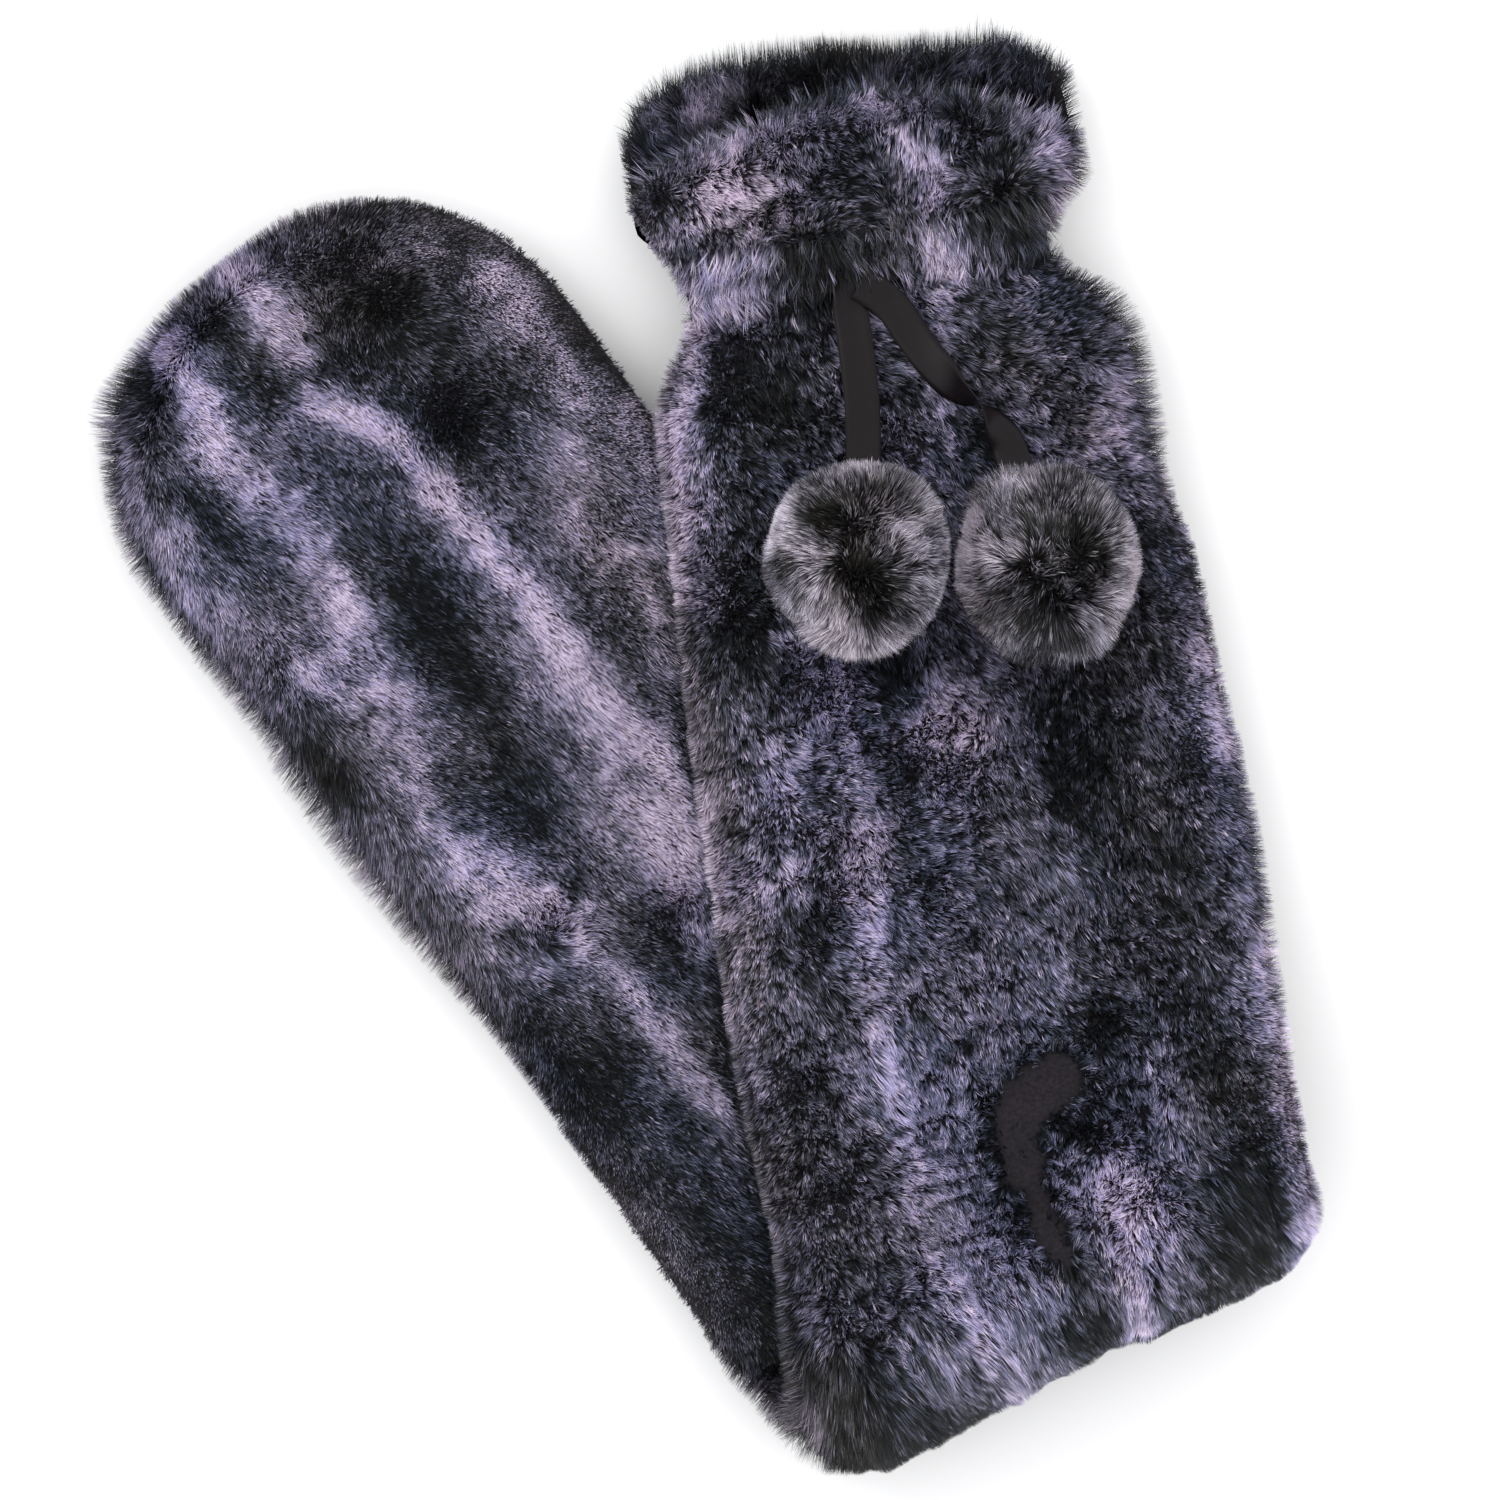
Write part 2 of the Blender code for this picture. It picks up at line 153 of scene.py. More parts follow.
UNEVEN_FRINGE = columns(  # and how much further than that
    "along left right",
    [
        (-409, 1, 0), (-399, 11, -3), (-385, 3.8, -4), (-371, 2.2, -7), (-354, 2.2, -6.8),
        (-336, 1.4, -6.4), (-310, 2.8, -5.5), (-290, 2.8, -4.5), (-270, 6.0, -3), (-250, 6.0, -2),
        (-210, 3.6, -2), (-170, -0.5, -2), (-130, -3.0, -2), (-105, -5.4, -2), (-85, -6.0, -1),
        (-50, 0.5, 0), (-20, 4, 1.5), (20, 2, 0.8), (40, -1, -3.2), (65, -1.5, -2.2),
        (110, -1.5, 0), (155, -1.5, -1.2), (185, -1.5, -2.4), (230, -1.5, -2.2), (245, -1.5, -0.8),
        (265, -1, 3.6), (290, -1, 5.0), (305, -0.6, 5.0), (320, 0, 0.4), (335, -1.4, 5.0),
        (350, -3.8, 0.0), (370, -3.0, -0.4), (380, -1.6, 1.6), (392, -0.4, 2.4),
    ],
)
BEND_FRINGE = columns(  # the same round the outside of the fold
    "across fringe",
    [(-90, 9), (-60, 7.5), (-40, 6.5), (-10, 3.5), (5, 1.8), (14, 1.6), (22, 4.6), (40, 3.5), (80, 3)],
)

# The pile

TUFT_SPACING = 0.45
TUFT_HAIRS = {True: 4, False: 2}
TUFT_SPREAD = 0.3
TUFT_LEAN_NOISE, HAIR_LEAN_NOISE = 0.14, 0.08
LENGTH_NOISE = 0.05
TUFT_TONE_NOISE, HAIR_TONE_NOISE, TUFT_WARMTH_NOISE = 0.18, 0.05, 0.35
WIDTH_NOISE, ROLL_NOISE = 0.2, 0.6
TUFT_GATHER = 0.04  # how far the tips of a tuft lean in, for each millimetre from its middle
HAIRS_SHOWN = 6.0  # hairs to each square millimetre of strip where the pile shows
HAIRS_AT_EDGE = 8.0
HAIRS_AT_FOLD = 8.5
HAIRS_AT_RIM = 9.0
HAIRS_IN_LINING = 6.5
HAIRS_IN_RUFFLE = 3.75
HAIRS_HIDDEN = 0.3
PILE_SEED = 5
SHOWN_FROM = (-30, -12)  # past the fold's middle, where the pile of a panel's upper side thins out
COVERED = (14, 24)  # from the upper leaf's outline in to where the pile under it is hidden
RIBBON_CLEAR = (3.5, 5.0)  # from the middle of the ribbon out to where the pile is full
FOLD_BAND = (26, 40)  # from the middle of the fold out to where the pile is as usual
EDGE_BAND = (3, 11)  # the same from the edges in
EDGE_HIDDEN = 0.4  # how much of the edge's thicker pile is left where it is hidden
RIM_BAND, LINING_BAND = 7, (18, 28)
RIM_LEAN, RIM_LEAN_BAND = (0.5, 1.8), 12
ROOT_INSET, ROOT_DEPTH = 0.3, 0.3  # from the backing's edge and its outer face in to where hairs start
PARTING_BARE = 0.985  # the share of the hairs that the parting is without
RUFFLE_ABOVE, RUFFLE_BELOW = (326, 338), (311, 317.5)  # up the strip, where its roots are
KNOT_ACROSS, KNOT_CLEAR = -3, 11
RUFFLE_INSET = 1.5
RUFFLE_LEAN, RUFFLE_RISE, RUFFLE_FAN = 0.9, (0.25, 1.1), 160
RUFFLE_NOISE, RUFFLE_HAIR_NOISE = (0.15, 0.32), 0.06
RUFFLE_LENGTH, RUFFLE_VARIED = (8, 10.5), (0.9, 1.08)
RUFFLE_OVER_BULGE = 0.6  # how much longer it is, for each millimetre that the collar bulges
LINING_LONGEST, LINING_VARIED = 10, (0.8, 1.05)
LINING_INSET, LINING_LEAN, LINING_FAN, LINING_NOISE = 5, 0.75, 90, 0.2
LINING_WAVES, LINING_WAVE_SEED, LINING_WAVE_LEAN = (9, 7), 55, 0.55
TURNED_OUT, TURNED_OUT_BAND = 1.1, 5  # how far some hairs turn outwards at the rim, and how far in
HAIR_WIDTH = {True: 0.50, False: 0.44}
EDGE_FINENESS = 0.62  # the share of their usual width that the hairs have at the edges
FINE_BAND = (2, 10)  # in from the edges to where they have all of it
SHORTEST, LONGEST = 1.5, 24.0
HUES = 3  # cool, plain and warm bands of the tint map
HUE_SPREAD = 0.9
BAND_MARGIN, TINT_WIDTH = 0.03, 0.004  # of a hair's place on the tint map
HAIR_CLEAR, CLOTH_CLEAR = 0.1, 0.2  # the least height above the floor
PIECE_HAIRS = 185000
RIBBON_CLOTH, RIBBON_CUP, RIBBON_COLUMNS = 0.4, 0.35, 7
LOOP_STEPS, LOOP_LIFT = 96, 1.0
TAIL_STEPS, TAIL_SMOOTHING, TAIL_SINK = 64, 12, 0.5
KNOT_STEPS, KNOT_ROWS, KNOT_PINCH = 24, 13, 0.16


def read(table, column, at, key="along"):
    """A smooth curve through one column of a table, with no overshoot."""
    known, value = table[key], table[column]
    step, slope = np.diff(known), np.zeros_like(known)
    rise = np.diff(value) / step
    before, after = rise[:-1], rise[1:]
    same = before * after > 0
    slope[1:-1][same] = 2 * before[same] * after[same] / (before + after)[same]
    i = np.clip(np.searchsorted(known, at) - 1, 0, len(step) - 1)
    t = np.clip((at - known[i]) / step[i], 0, 1)
    ends = value[i] * (1 + 2 * t) * (1 - t) ** 2 + value[i + 1] * t**2 * (3 - 2 * t)
    return ends + step[i] * (slope[i] * t * (1 - t) ** 2 - slope[i + 1] * t**2 * (1 - t))


def eased(value, start, end):
    """0 before start, 1 after end, and a smooth rise between them."""
    t = np.clip((value - start) / (end - start), 0, 1)
    return t * t * (3 - 2 * t)


def bowed(share):
    """0 at the edge and 1 from a share of 1 on, as a quarter of an ellipse."""
    return np.sqrt(1 - (1 - np.clip(share, 0, 1)) ** 2)


def edges(along, margin=0.0):
    """The strip's left and right edges, or lines that run a margin inside them."""
    left, right = read(OUTLINE, "left", along), read(OUTLINE, "right", along)
    into_end = np.clip((ROUND_START - along) / (ROUND_LENGTH - margin), 0, 1)
    half = ((right - left) / 2 - margin) * (1 - into_end**ROUND_POWER) ** (1 / ROUND_POWER)
    return (left + right) / 2 - half, (left + right) / 2 + half


def bumps(table, along, across):
    """Soft-edged oval spots, one array for each row of a table; a turn is in degrees, if there is one."""
    turns = np.radians(table.get("turn", np.zeros(len(table["along"]))))
    places = zip(table["along"], table["across"], table["length"], table["width"], turns)
    for middle_along, middle_across, length, width, turn in places:
        c, s = math.cos(turn), math.sin(turn)
        u, v = along - middle_along, across - middle_across
        yield np.exp(-(((u * c + v * s) / length) ** 2) - ((v * c - u * s) / width) ** 2)


def of_panel(table, is_front):
    """The rows of a table that are for one panel."""
    return {key: value[table["front"] == is_front] for key, value in table.items()}


def spotted(table, column):
    """All the spots of a table together on the map, each as strong as its column says."""
    return sum(value * bump for value, bump in zip(table[column], bumps(table, A, B)))


def sag(x, y, along):
    """How far the upper leaf has dropped: it lies on the lower leaf, and past it on the table."""
    cos, sin = math.cos(FOLD_SLANT), math.sin(FOLD_SLANT)
    ahead = x * sin - y * cos - QUARTER_TURN * FOLD_RADIUS
    beside = x * cos + y * sin
    below_along, below_across = ahead * cos + beside * sin, beside * cos - ahead * sin
    outside = below_across - edges(np.minimum(below_along, 0))[1]
    held = 1 - eased(outside, SAG_FROM, SAG_TO)
    return SAG_DROP * (1 - held * (1 - eased(along, NECK_SAG_FROM, NECK_SAG_TO)))


def fold(along, across, height):
    """The place on the table of a point of the flat strip, in millimetres."""
    cos, sin = math.cos(FOLD_SLANT), math.sin(FOLD_SLANT)
    ahead = along * cos - across * sin
    beside = along * sin + across * cos
    turn = np.clip(ahead / FOLD_RADIUS, -QUARTER_TURN, QUARTER_TURN)
    inward = np.maximum(np.abs(ahead) - QUARTER_TURN * FOLD_RADIUS, 0)
    inward = inward - (FOLD_RADIUS + height) * np.cos(turn)
    x = beside * cos - inward * sin
    y = beside * sin + inward * cos
    z = FOLD_AXIS_HEIGHT + (FOLD_RADIUS + height) * np.sin(turn)
    z = z - sag(x, y, along) * (1 + np.sin(turn)) / 2
    return np.stack([x + FOLD_CENTRE[0], y + FOLD_CENTRE[1], z], axis=-1)


# Maps of the strip, one value each millimetre

MAP_ALONG = np.arange(-420.0, 404.0)
MAP_ACROSS = np.arange(-100.0, 98.0)
A, B = np.meshgrid(MAP_ALONG, MAP_ACROSS, indexing="ij")


def at(chart, along, across):
    """A map's value at these places, between its own points."""
    i = np.clip(along - MAP_ALONG[0], 0, len(MAP_ALONG) - 1.001)
    j = np.clip(across - MAP_ACROSS[0], 0, len(MAP_ACROSS) - 1.001)
    i0, j0 = i.astype(int), j.astype(int)
    fi, fj = i - i0, j - j0
    near = chart[i0, j0] * (1 - fj) + chart[i0, j0 + 1] * fj
    far = chart[i0 + 1, j0] * (1 - fj) + chart[i0 + 1, j0 + 1] * fj
    return near * (1 - fi) + far * fi


def hair_edges(along):
    """The left and right edges out to the ends of the loose hair."""
    left, right = edges(along, -FRINGE)
    return left - read(UNEVEN_FRINGE, "left", along), right + read(UNEVEN_FRINGE, "right", along)


def inset_map(edges_at, end):
    """The distance in from the edges and the round end, negative outside them."""
    turn = np.linspace(QUARTER_TURN, 0, 60)
    straight = np.arange(ROUND_START, OUTLINE["along"][-1] + 12, 2.0)
    along = np.concatenate([ROUND_START - (ROUND_START - end) * np.sin(turn), straight])
    nearest = np.full(A.shape, 1e9)
    for line in edges_at(along):
        for a, b in zip(along, line):
            np.minimum(nearest, (A - a) ** 2 + (B - b) ** 2, out=nearest)
    left, right = edges_at(A)
    return np.where((B > left) & (B < right) & (A > end), 1, -1) * np.sqrt(nearest)


def ripples(size, seed):
    """A smooth random map from -1 to 1, with features of about this size."""
    draw = np.random.default_rng(seed)
    rows, cols = int(len(MAP_ALONG) / size) + 4, int(len(MAP_ACROSS) / size) + 4
    knots = draw.uniform(-1, 1, (rows, cols))
    i, j = (A - MAP_ALONG[0]) / size + 1, (B - MAP_ACROSS[0]) / size + 1
    i0, j0 = i.astype(int), j.astype(int)
    fi, fj = i - i0, j - j0
    fi, fj = fi * fi * (3 - 2 * fi), fj * fj * (3 - 2 * fj)
    near = knots[i0, j0] * (1 - fj) + knots[i0, j0 + 1] * fj
    far = knots[i0 + 1, j0] * (1 - fj) + knots[i0 + 1, j0 + 1] * fj
    return near * (1 - fi) + far * fi


def uneven(parts, step=0):
    """Ripples of several sizes together: the size, share and seed of each."""
    return sum(share * ripples(size, seed + step) for size, share, seed in parts)


ROUND_END = ROUND_START - ROUND_LENGTH
INSET = inset_map(hair_edges, ROUND_END - END_FRINGE)
BACKING_INSET = inset_map(lambda along: edges(along, PILE_MARGIN), ROUND_END + PILE_MARGIN)
SQUARE_TO_FOLD = A * math.cos(FOLD_SLANT) - B * math.sin(FOLD_SLANT)


def from_stretch(start, end, wander=(0, 0)):
    """The distance of each place on the strip from a straight stretch."""
    u, v = A + wander[0] - start[0], B + wander[1] - start[1]
    da, db = end[0] - start[0], end[1] - start[1]
    t = np.clip((u * da + v * db) / (da * da + db * db), 0, 1)
    return np.hypot(u - t * da, v - t * db)


PARTED_FROM = np.min([from_stretch(*ends) - half_width for *ends, half_width in PARTING], axis=0)
PARTED_FROM += uneven(((5, 1.1, 81), (2, 0.8, 82)))
PARTING_EDGE = (-0.8, 1.2)  # across the parting's edge, from bare cloth to full pile
RELIEF = ((4, 0.9, 61), (10, 0.9, 63))  # of the pile's surface
RAGGED_EDGE = ((8, 0.7, 65), (3.5, 0.45, 67))
RAGGED_RIM = ((7, 1.2, 69), (3, 0.7, 70))
NO_ROOM = -50.0  # the height of the pile where no hair may go
BEND_ENDS = (20, 44)  # from the middle of the fold, where the fringe round it fades out
COLLAR_RISE = (325, 340)  # up the strip, where the pile takes its depth on the collar
FULLER_RIM = columns(  # more fringe at the back panel's rim
    "across fringe",
    [(-24, 1.5), (-4, 0), (28, 0), (48, 4.4), (52, 4.4), (62, 8.4)],
)
BULGES = columns(  # rounds of the gathered collar that stand out over the neck
    "along across length width turn rise",
    [
        (335, 42, 14, 15, 0, 9.0), (356, 24, 6, 12, 40, -2.5), (351, 48, 4, 10, -20, -2.5),
        (328, -15, 12, 16, 0, 7.0), (346, -40, 14, 14, 0, 2.0),
    ],
)


def side_maps(is_front):
    """The heights of one panel's pile and backing, and the place where its pile parts."""
    lumps = spotted(of_panel(LUMPS, is_front), "rise")
    lumps = lumps * eased(A if is_front else -A, LUMPS_FROM, LUMPS_TO)
    bulges = spotted(BULGES, "rise") if is_front else np.zeros(A.shape)
    full = read(BUILD_UP, "thickness", A) / 2 + lumps + bulges
    rim = read(RIM, "front" if is_front else "back", B, key="across")
    to_rim = rim + RIM_FRINGE + uneven(RAGGED_RIM, is_front) - A
    if is_front:
        bend = 1 - eased(np.abs(SQUARE_TO_FOLD), *BEND_ENDS)
        full += read(BEND_FRINGE, "fringe", B, key="across") * bend
        parting = 1 - eased(PARTED_FROM, *PARTING_EDGE)
    else:
        to_rim += read(FULLER_RIM, "fringe", B, key="across")
        parting = np.zeros(A.shape)
    ragged = INSET + uneven(RAGGED_EDGE, is_front)
    tips = bowed(ragged / (EDGE_ROUND + FRINGE)) * full + uneven(RELIEF, is_front) * eased(INSET, 2, 12)
    room = np.where((ragged > 0) & (to_rim > 0), tips, NO_ROOM)
    depth = PILE_DEPTH[is_front] + (COLLAR_DEPTH - PILE_DEPTH[is_front]) * eased(A, *COLLAR_RISE)
    backing = bowed(BACKING_INSET / BACKING_ROUND) * (full - depth)
    return {"room": room, "backing": backing, "rim": rim, "parting": parting, "bulges": bulges}


MAPS = {True: side_maps(True), False: side_maps(False)}


def under_upper_leaf(along, across):
    """How far in from the upper leaf's outline each place of the lower leaf lies under it."""
    place = fold(along, across, np.full(np.shape(along), -LEAF_THICKNESS / 2))
    sin, cos = math.sin(FOLD_SLANT), math.cos(FOLD_SLANT)
    over_along = place[..., 1] - FOLD_CENTRE[1] + QUARTER_TURN * FOLD_RADIUS * cos
    over_across = place[..., 0] - FOLD_CENTRE[0] - QUARTER_TURN * FOLD_RADIUS * sin
    return np.where(over_along > 0, at(INSET, over_along, over_across), -ABOVE_ALL)


# Colour and lay of the pile

STREAKS = {  # pale streaks, mostly the pile's own lilac bands, with painted highlight on the rims of the collar's bulges: strength, width, then the along and across of each point
    False: [
        (0.46, 6.5, (-402, -4), (-391, -3), (-378, -4), (-371, -5)),
        (0.52, 6.5, (-396, -34), (-384, -34), (-370, -38), (-357, -42)),
        (0.36, 8, (-345, -38), (-320, -36), (-304, -37)),
        (0.20, 9, (-376, 36), (-368, 42)),
        (0.26, 6, (-203, -62), (-199, -56)),
        (0.34, 8, (-298, -41), (-284, -47), (-271, -43), (-262, -49), (-253, -52)),
        (0.32, 4.5, (-243, -56), (-238, -58), (-230, -58)),
        (0.60, 8.5, (-218, -57), (-213, -55), (-205, -52), (-199, -49)),
        (0.40, 3.5, (-198, -44), (-188, -37), (-182, -41)),
        (0.44, 4.2, (-180, -44), (-163, -42), (-148, -41), (-130, -41), (-108, -41)),
        (0.56, 5.5, (-354, -9), (-346, -4), (-331, 3), (-313, 4)),
        (0.62, 5.5, (-313, 3), (-296, 5), (-280, 6), (-266, 6), (-251, 4)),
        (0.43, 7, (-248, 5), (-237, 6), (-216, 7), (-196, 5), (-182, 0)),
        (0.48, 8, (-194, -4), (-180, -9), (-162, -11)),
        (0.20, 14, (-270, -3), (-242, -5), (-190, -12)),
        (0.36, 6, (-352, 58), (-346, 58), (-334, 58), (-318, 56), (-311, 54)),
        (0.28, 8, (-300, 38), (-290, 38), (-277, 32), (-262, 38)),
        (0.50, 8, (-294, 65), (-275, 61), (-260, 53), (-240, 46)),
        (0.30, 6, (-350, -69), (-327, -68), (-306, -65), (-290, -60)),
        (0.34, 7, (-350, 51), (-340, 53)),
        (0.34, 6, (-250, 34), (-240, 31), (-230, 29)),
        (0.18, 6, (-290, -58), (-280, -57)),
        (0.14, 6, (-256, -12), (-249, -12)),
        (0.22, 4, (-181, -59), (-191, -66)),
        (0.16, 6, (-212, -45), (-204, -43)),
        (0.20, 4, (-380, -66), (-346, -74), (-323, -76)),
        (0.46, 6, (386, -37), (376, -42)),
        (0.16, 12, (376, -62), (384, -34)),
        (0.16, 7, (380, 0), (378, 26)),
        (0.14, 6, (378, 40), (370, 60)),
    ],
    True: [
        (0.44, 4, (285, -68), (272, -70), (248, -74), (236, -75)),
        (0.38, 6, (274, -64), (260, -66), (243, -64), (233, -64)),
        (0.22, 3.5, (250, -72), (232, -76), (188, -78)),
        (0.56, 3.5, (180, -78), (165, -79), (140, -82)),
        (0.24, 4, (129, -80), (99, -80), (88, -79)),
        (0.14, 5, (50, 5), (25, 9)),
        (0.26, 5, (150, -40), (140, -40)),
        (0.22, 4, (-2, -82), (-8, -81)),
        (0.18, 6, (50, 74), (14, 70)),
        (0.14, 6, (80, 40), (72, 38)),
        (0.14, 8, (76, 73), (20, 70)),
        (0.42, 5.5, (320, -56), (320, -46), (318, -40)),
        (0.52, 5.5, (314, -58), (300, -60), (286, -66)),
        (0.16, 6, (194, -62), (184, -55), (172, -53)),
        (0.38, 5, (147, -69), (148, -57)),
        (0.24, 5.5, (203, -32), (186, -31)),
        (0.29, 5.5, (176, -33), (164, -32), (152, -30), (139, -31)),
        (0.30, 4.5, (136, -34), (121, -38), (109, -38), (98, -38)),
        (0.28, 4, (98, -38), (79, -36), (58, -36), (47, -38)),
        (0.09, 20, (150, -8), (110, -4)),
        (0.12, 9, (96, -56), (84, -48)),
        (0.28, 5, (31, -38), (17, -30), (6, -20), (-10, -23)),
        (0.46, 11, (186, -5), (180, 1)),
        (0.30, 5, (228, -16), (222, -14)),
        (0.66, 7.5, (46, 20), (36, 21)),
        (0.34, 6, (39, 29), (32, 32)),
        (0.46, 4.5, (33, 21), (20, 19), (10, 17)),
        (0.36, 4, (198, 76), (178, 77), (160, 79)),
        (0.42, 4.5, (104, 79), (70, 78), (43, 77)),
        (0.40, 5, (33, 78), (20, 75), (12, 70)),
        (0.26, 5, (381, -65), (370, -66)),
        (0.26, 5, (350, -66), (342, -65), (328, -60)),
        (0.30, 5, (257, 20), (254, 30), (250, 42)),
        (0.30, 5, (251, -8), (240, -9)),
        (0.24, 6, (276, 66), (272, 67), (257, 57)),
        (0.16, 8, (272, 36), (262, 40)),
        (0.12, 9, (196, 18), (192, 28)),
        (0.14, 8, (52, -28), (46, -30)),
        (0.28, 5, (217, -45), (212, -26)),
        (0.30, 4, (262, 63), (252, 69)),
        (0.10, 14, (104, -22), (40, -20)),
        (0.10, 16, (190, -50), (130, -56)),
        (0.10, 26, (358, -30), (340, 20)),
        (0.26, 4, (368, -33), (358, -37)),
        (0.54, 8, (355, -39), (347, -32), (345, -26)),
        (0.14, 8, (368, -24), (366, -14)),
        (0.26, 4, (344, -33), (337, -33), (330, -31)),
        (0.26, 4, (350, -40), (346, -45), (345, -51), (343, -58)),
        (0.30, 4, (329, -46), (330, -38)),
        (0.36, 4, (375, 7), (366, 9), (358, 14), (350, 19), (344, 25), (343, 30)),
        (0.40, 3.5, (339, 21), (331, 17), (324, 17), (319, 22)),
        (0.14, 3.5, (315, 14), (309, 19)),
        (0.32, 4, (314, 24), (318, 35)),
        (0.26, 4.5, (309, 19), (295, 19)),
        (0.18, 3.5, (291, 11), (278, 14), (262, 13)),
        (0.26, 6, (358, 58), (347, 60), (332, 62)),
    ],
}
DARK_PATCHES_AND_SHADE = {  # dark patches: partly the pile's own dark colour, partly painted shade in the creases, at the mouth, round the collar's bulges and beside the parting
    False: columns(
        "along across length width turn depth",
        [
            (-366, 25, 22, 17, 0, 0.34), (-326, 21, 15, 13, 0, 0.30), (-270, -22, 36, 9, 6, 0.44),
            (-230, -32, 22, 9, -14, 0.28), (-365, -14, 7, 7, 0, 0.20), (388, 0, 16, 80, 0, 0.12),
            (-342, -55, 18, 5, 0, 0.28), (-280, -9, 12, 7, 0, 0.18), (-160, -29, 20, 5, 0, 0.14),
            (-300, -66, 26, 5, 0, 0.10), (-390, -18, 10, 8, 0, 0.26), (-384, -50, 12, 8, 0, 0.24),
            (-372, -22, 8, 8, 0, 0.20), (-384, 52, 8, 9, 0, 0.12), (-362, 52, 6, 6, 0, 0.14),
            (-395, -54, 8, 10, 0, 0.24), (-392, 28, 8, 14, 0, 0.14), (-318, 66, 12, 6, 0, 0.18),
            (-146, -70, 28, 14, 0, 0.36), (-249, 34, 36, 9, 4, 0.08), (-252, 18, 24, 4, 0, 0.16),
            (-196, -57, 5, 5, 0, 0.26), (-194, -36, 6, 6, 0, 0.30), (-362, 1, 6, 6, 0, 0.16),
            (-270, -4, 8, 6, 0, 0.24), (-337, -71, 14, 5, 0, 0.16), (-363, -61, 10, 6, 0, 0.16),
            (-329, 42, 8, 7, 0, 0.16), (-320, 62, 7, 6, 0, 0.16), (-92, -66, 12, 8, 0, 0.16),
            (-260, -75, 10, 5, 0, 0.14), (-251, -60, 6, 5, 0, 0.16), (-114, -38, 8, 6, 0, 0.20),
            (-175, -17, 5, 5, 0, 0.36), (-264, -74, 18, 7, 0, 0.30), (-240, -46, 12, 8, 0, 0.16),
            (-332, -66, 24, 8, 0, 0.14), (-290, -17, 28, 9, 0, 0.16), (-174, -24, 20, 7, 0, 0.16),
            (-112, -66, 30, 12, 0, 0.12), (-106, -52, 14, 8, 0, 0.12), (-50, -66, 20, 12, 0, 0.22),
            (-326, 75, 40, 7, 0, 0.45), (-60, -60, 40, 26, 0, 0.20),
        ],
    ),
    True: columns(
        "along across length width turn depth",
        [
            (221, -57, 20, 11, 0, 0.36), (292, -46, 18, 14, 0, 0.36), (283, -33, 24, 10, 0, 0.18),
            (259, -46, 12, 9, 0, 0.20), (201, -15, 12, 7, 0, 0.30), (173, -20, 32, 6, 2, 0.24),
            (166, 29, 24, 7, -6, 0.31), (170, 40, 18, 8, 0, 0.14), (137, 52, 46, 14, -6, 0.17),
            (40, 61, 13, 8, 0, 0.28), (88, 25, 10, 9, 0, 0.42), (62, -13, 18, 4.5, 0, 0.34),
            (60, 12, 6, 10, 0, 0.34), (42, -10, 14, 4, 0, 0.22), (24, 6, 14, 6, 0, 0.10),
            (133, -50, 9, 7, 0, 0.26), (100, -60, 40, 8, 0, 0.12), (142, -3, 10, 8, 0, 0.08),
            (210, 62, 16, 12, 0, 0.12), (74, 53, 12, 8, 0, 0.18), (38, 61, 8, 9, 0, 0.26),
            (28, 51, 9, 9, 0, 0.30), (7, 39, 8, 10, 0, 0.42), (18, 58, 8, 8, 0, 0.14),
            (68, 57, 9, 8, 0, 0.14), (0, 26, 9, 8, 0, 0.56), (-9, -42, 8, 10, 0, 0.34),
            (253, -55, 7, 5, 0, 0.16), (316, 18, 5, 5, 0, 0.16), (294, 60, 8, 7, 0, 0.14),
            (174, 6, 5, 5, 0, 0.14), (20, -82, 16, 5, 0, 0.18), (16, 45, 8, 8, 0, 0.10),
            (10, 10, 8, 6, 0, 0.20), (66, 30, 6, 5, 0, 0.14), (135, 7, 10, 8, 0, 0.10),
            (140, 68, 8, 6, 0, 0.14), (9, -81, 7, 6, 0, 0.18), (-2, -75, 7, 5, 0, 0.16),
            (96, 49, 10, 6, 0, 0.14), (361, 47, 6, 6, 0, 0.20), (171, -47, 8, 8, 0, 0.14),
            (152, -17, 8, 8, 0, 0.14), (151, 10, 8, 8, 0, 0.10), (222, 68, 8, 8, 0, 0.16),
            (149, -60, 7, 7, 0, 0.12), (331, -27, 6, 6, 0, 0.18), (98, 6, 8, 8, 0, 0.08),
            (98, -16, 16, 14, 0, 0.07), (298, -26, 12, 9, 0, 0.16), (282, 5, 8, 4, 0, 0.14),
            (257, 22, 8, 8, 0, 0.22), (9, 47, 6, 7, 0, 0.12), (234, 57, 12, 8, 0, 0.12),
            (11, 1, 9, 8, 0, 0.28), (-8, 6, 8, 10, 0, 0.20), (4, -62, 10, 10, 0, 0.16),
            (29, -61, 8, 8, 0, 0.24), (100, -34, 6, 5, 0, 0.14), (198, -60, 8, 6, 0, 0.16),
            (-30, -40, 16, 50, 0, 0.24), (-14, -60, 20, 26, 0, 0.36), (268, 24, 12, 12, 0, 0.24),
            (284, 3, 13, 5, 0, 0.18), (298, 32, 14, 9, 0, 0.12), (352, -3, 16, 13, 0, 0.24),
            (352, 4, 10, 8, 0, 0.14), (315, 19, 4, 5, 0, 0.20), (336, 11, 9, 6, 0, 0.18),
            (330, 1, 8, 7, 0, 0.12), (328, -15, 13, 17, 0, 0.34), (315, -14, 8, 14, 0, 0.34),
            (337, 42, 13, 14, 0, 0.32), (321, 45, 3, 12, 0, 0.26), (351, 46, 3, 13, -14, 0.24),
            (341, 28, 9, 3, 0, 0.16), (366, 35, 7, 7, 0, 0.30), (377, -8, 5, 44, 0, 0.20),
            (352, -60, 16, 8, 0, 0.16), (337, -42, 7, 10, 0, 0.16), (-310, 74, 90, 12, 0, 0.30),
        ],
    ),
}
USUAL_TONE = {True: 0.364, False: 0.388}
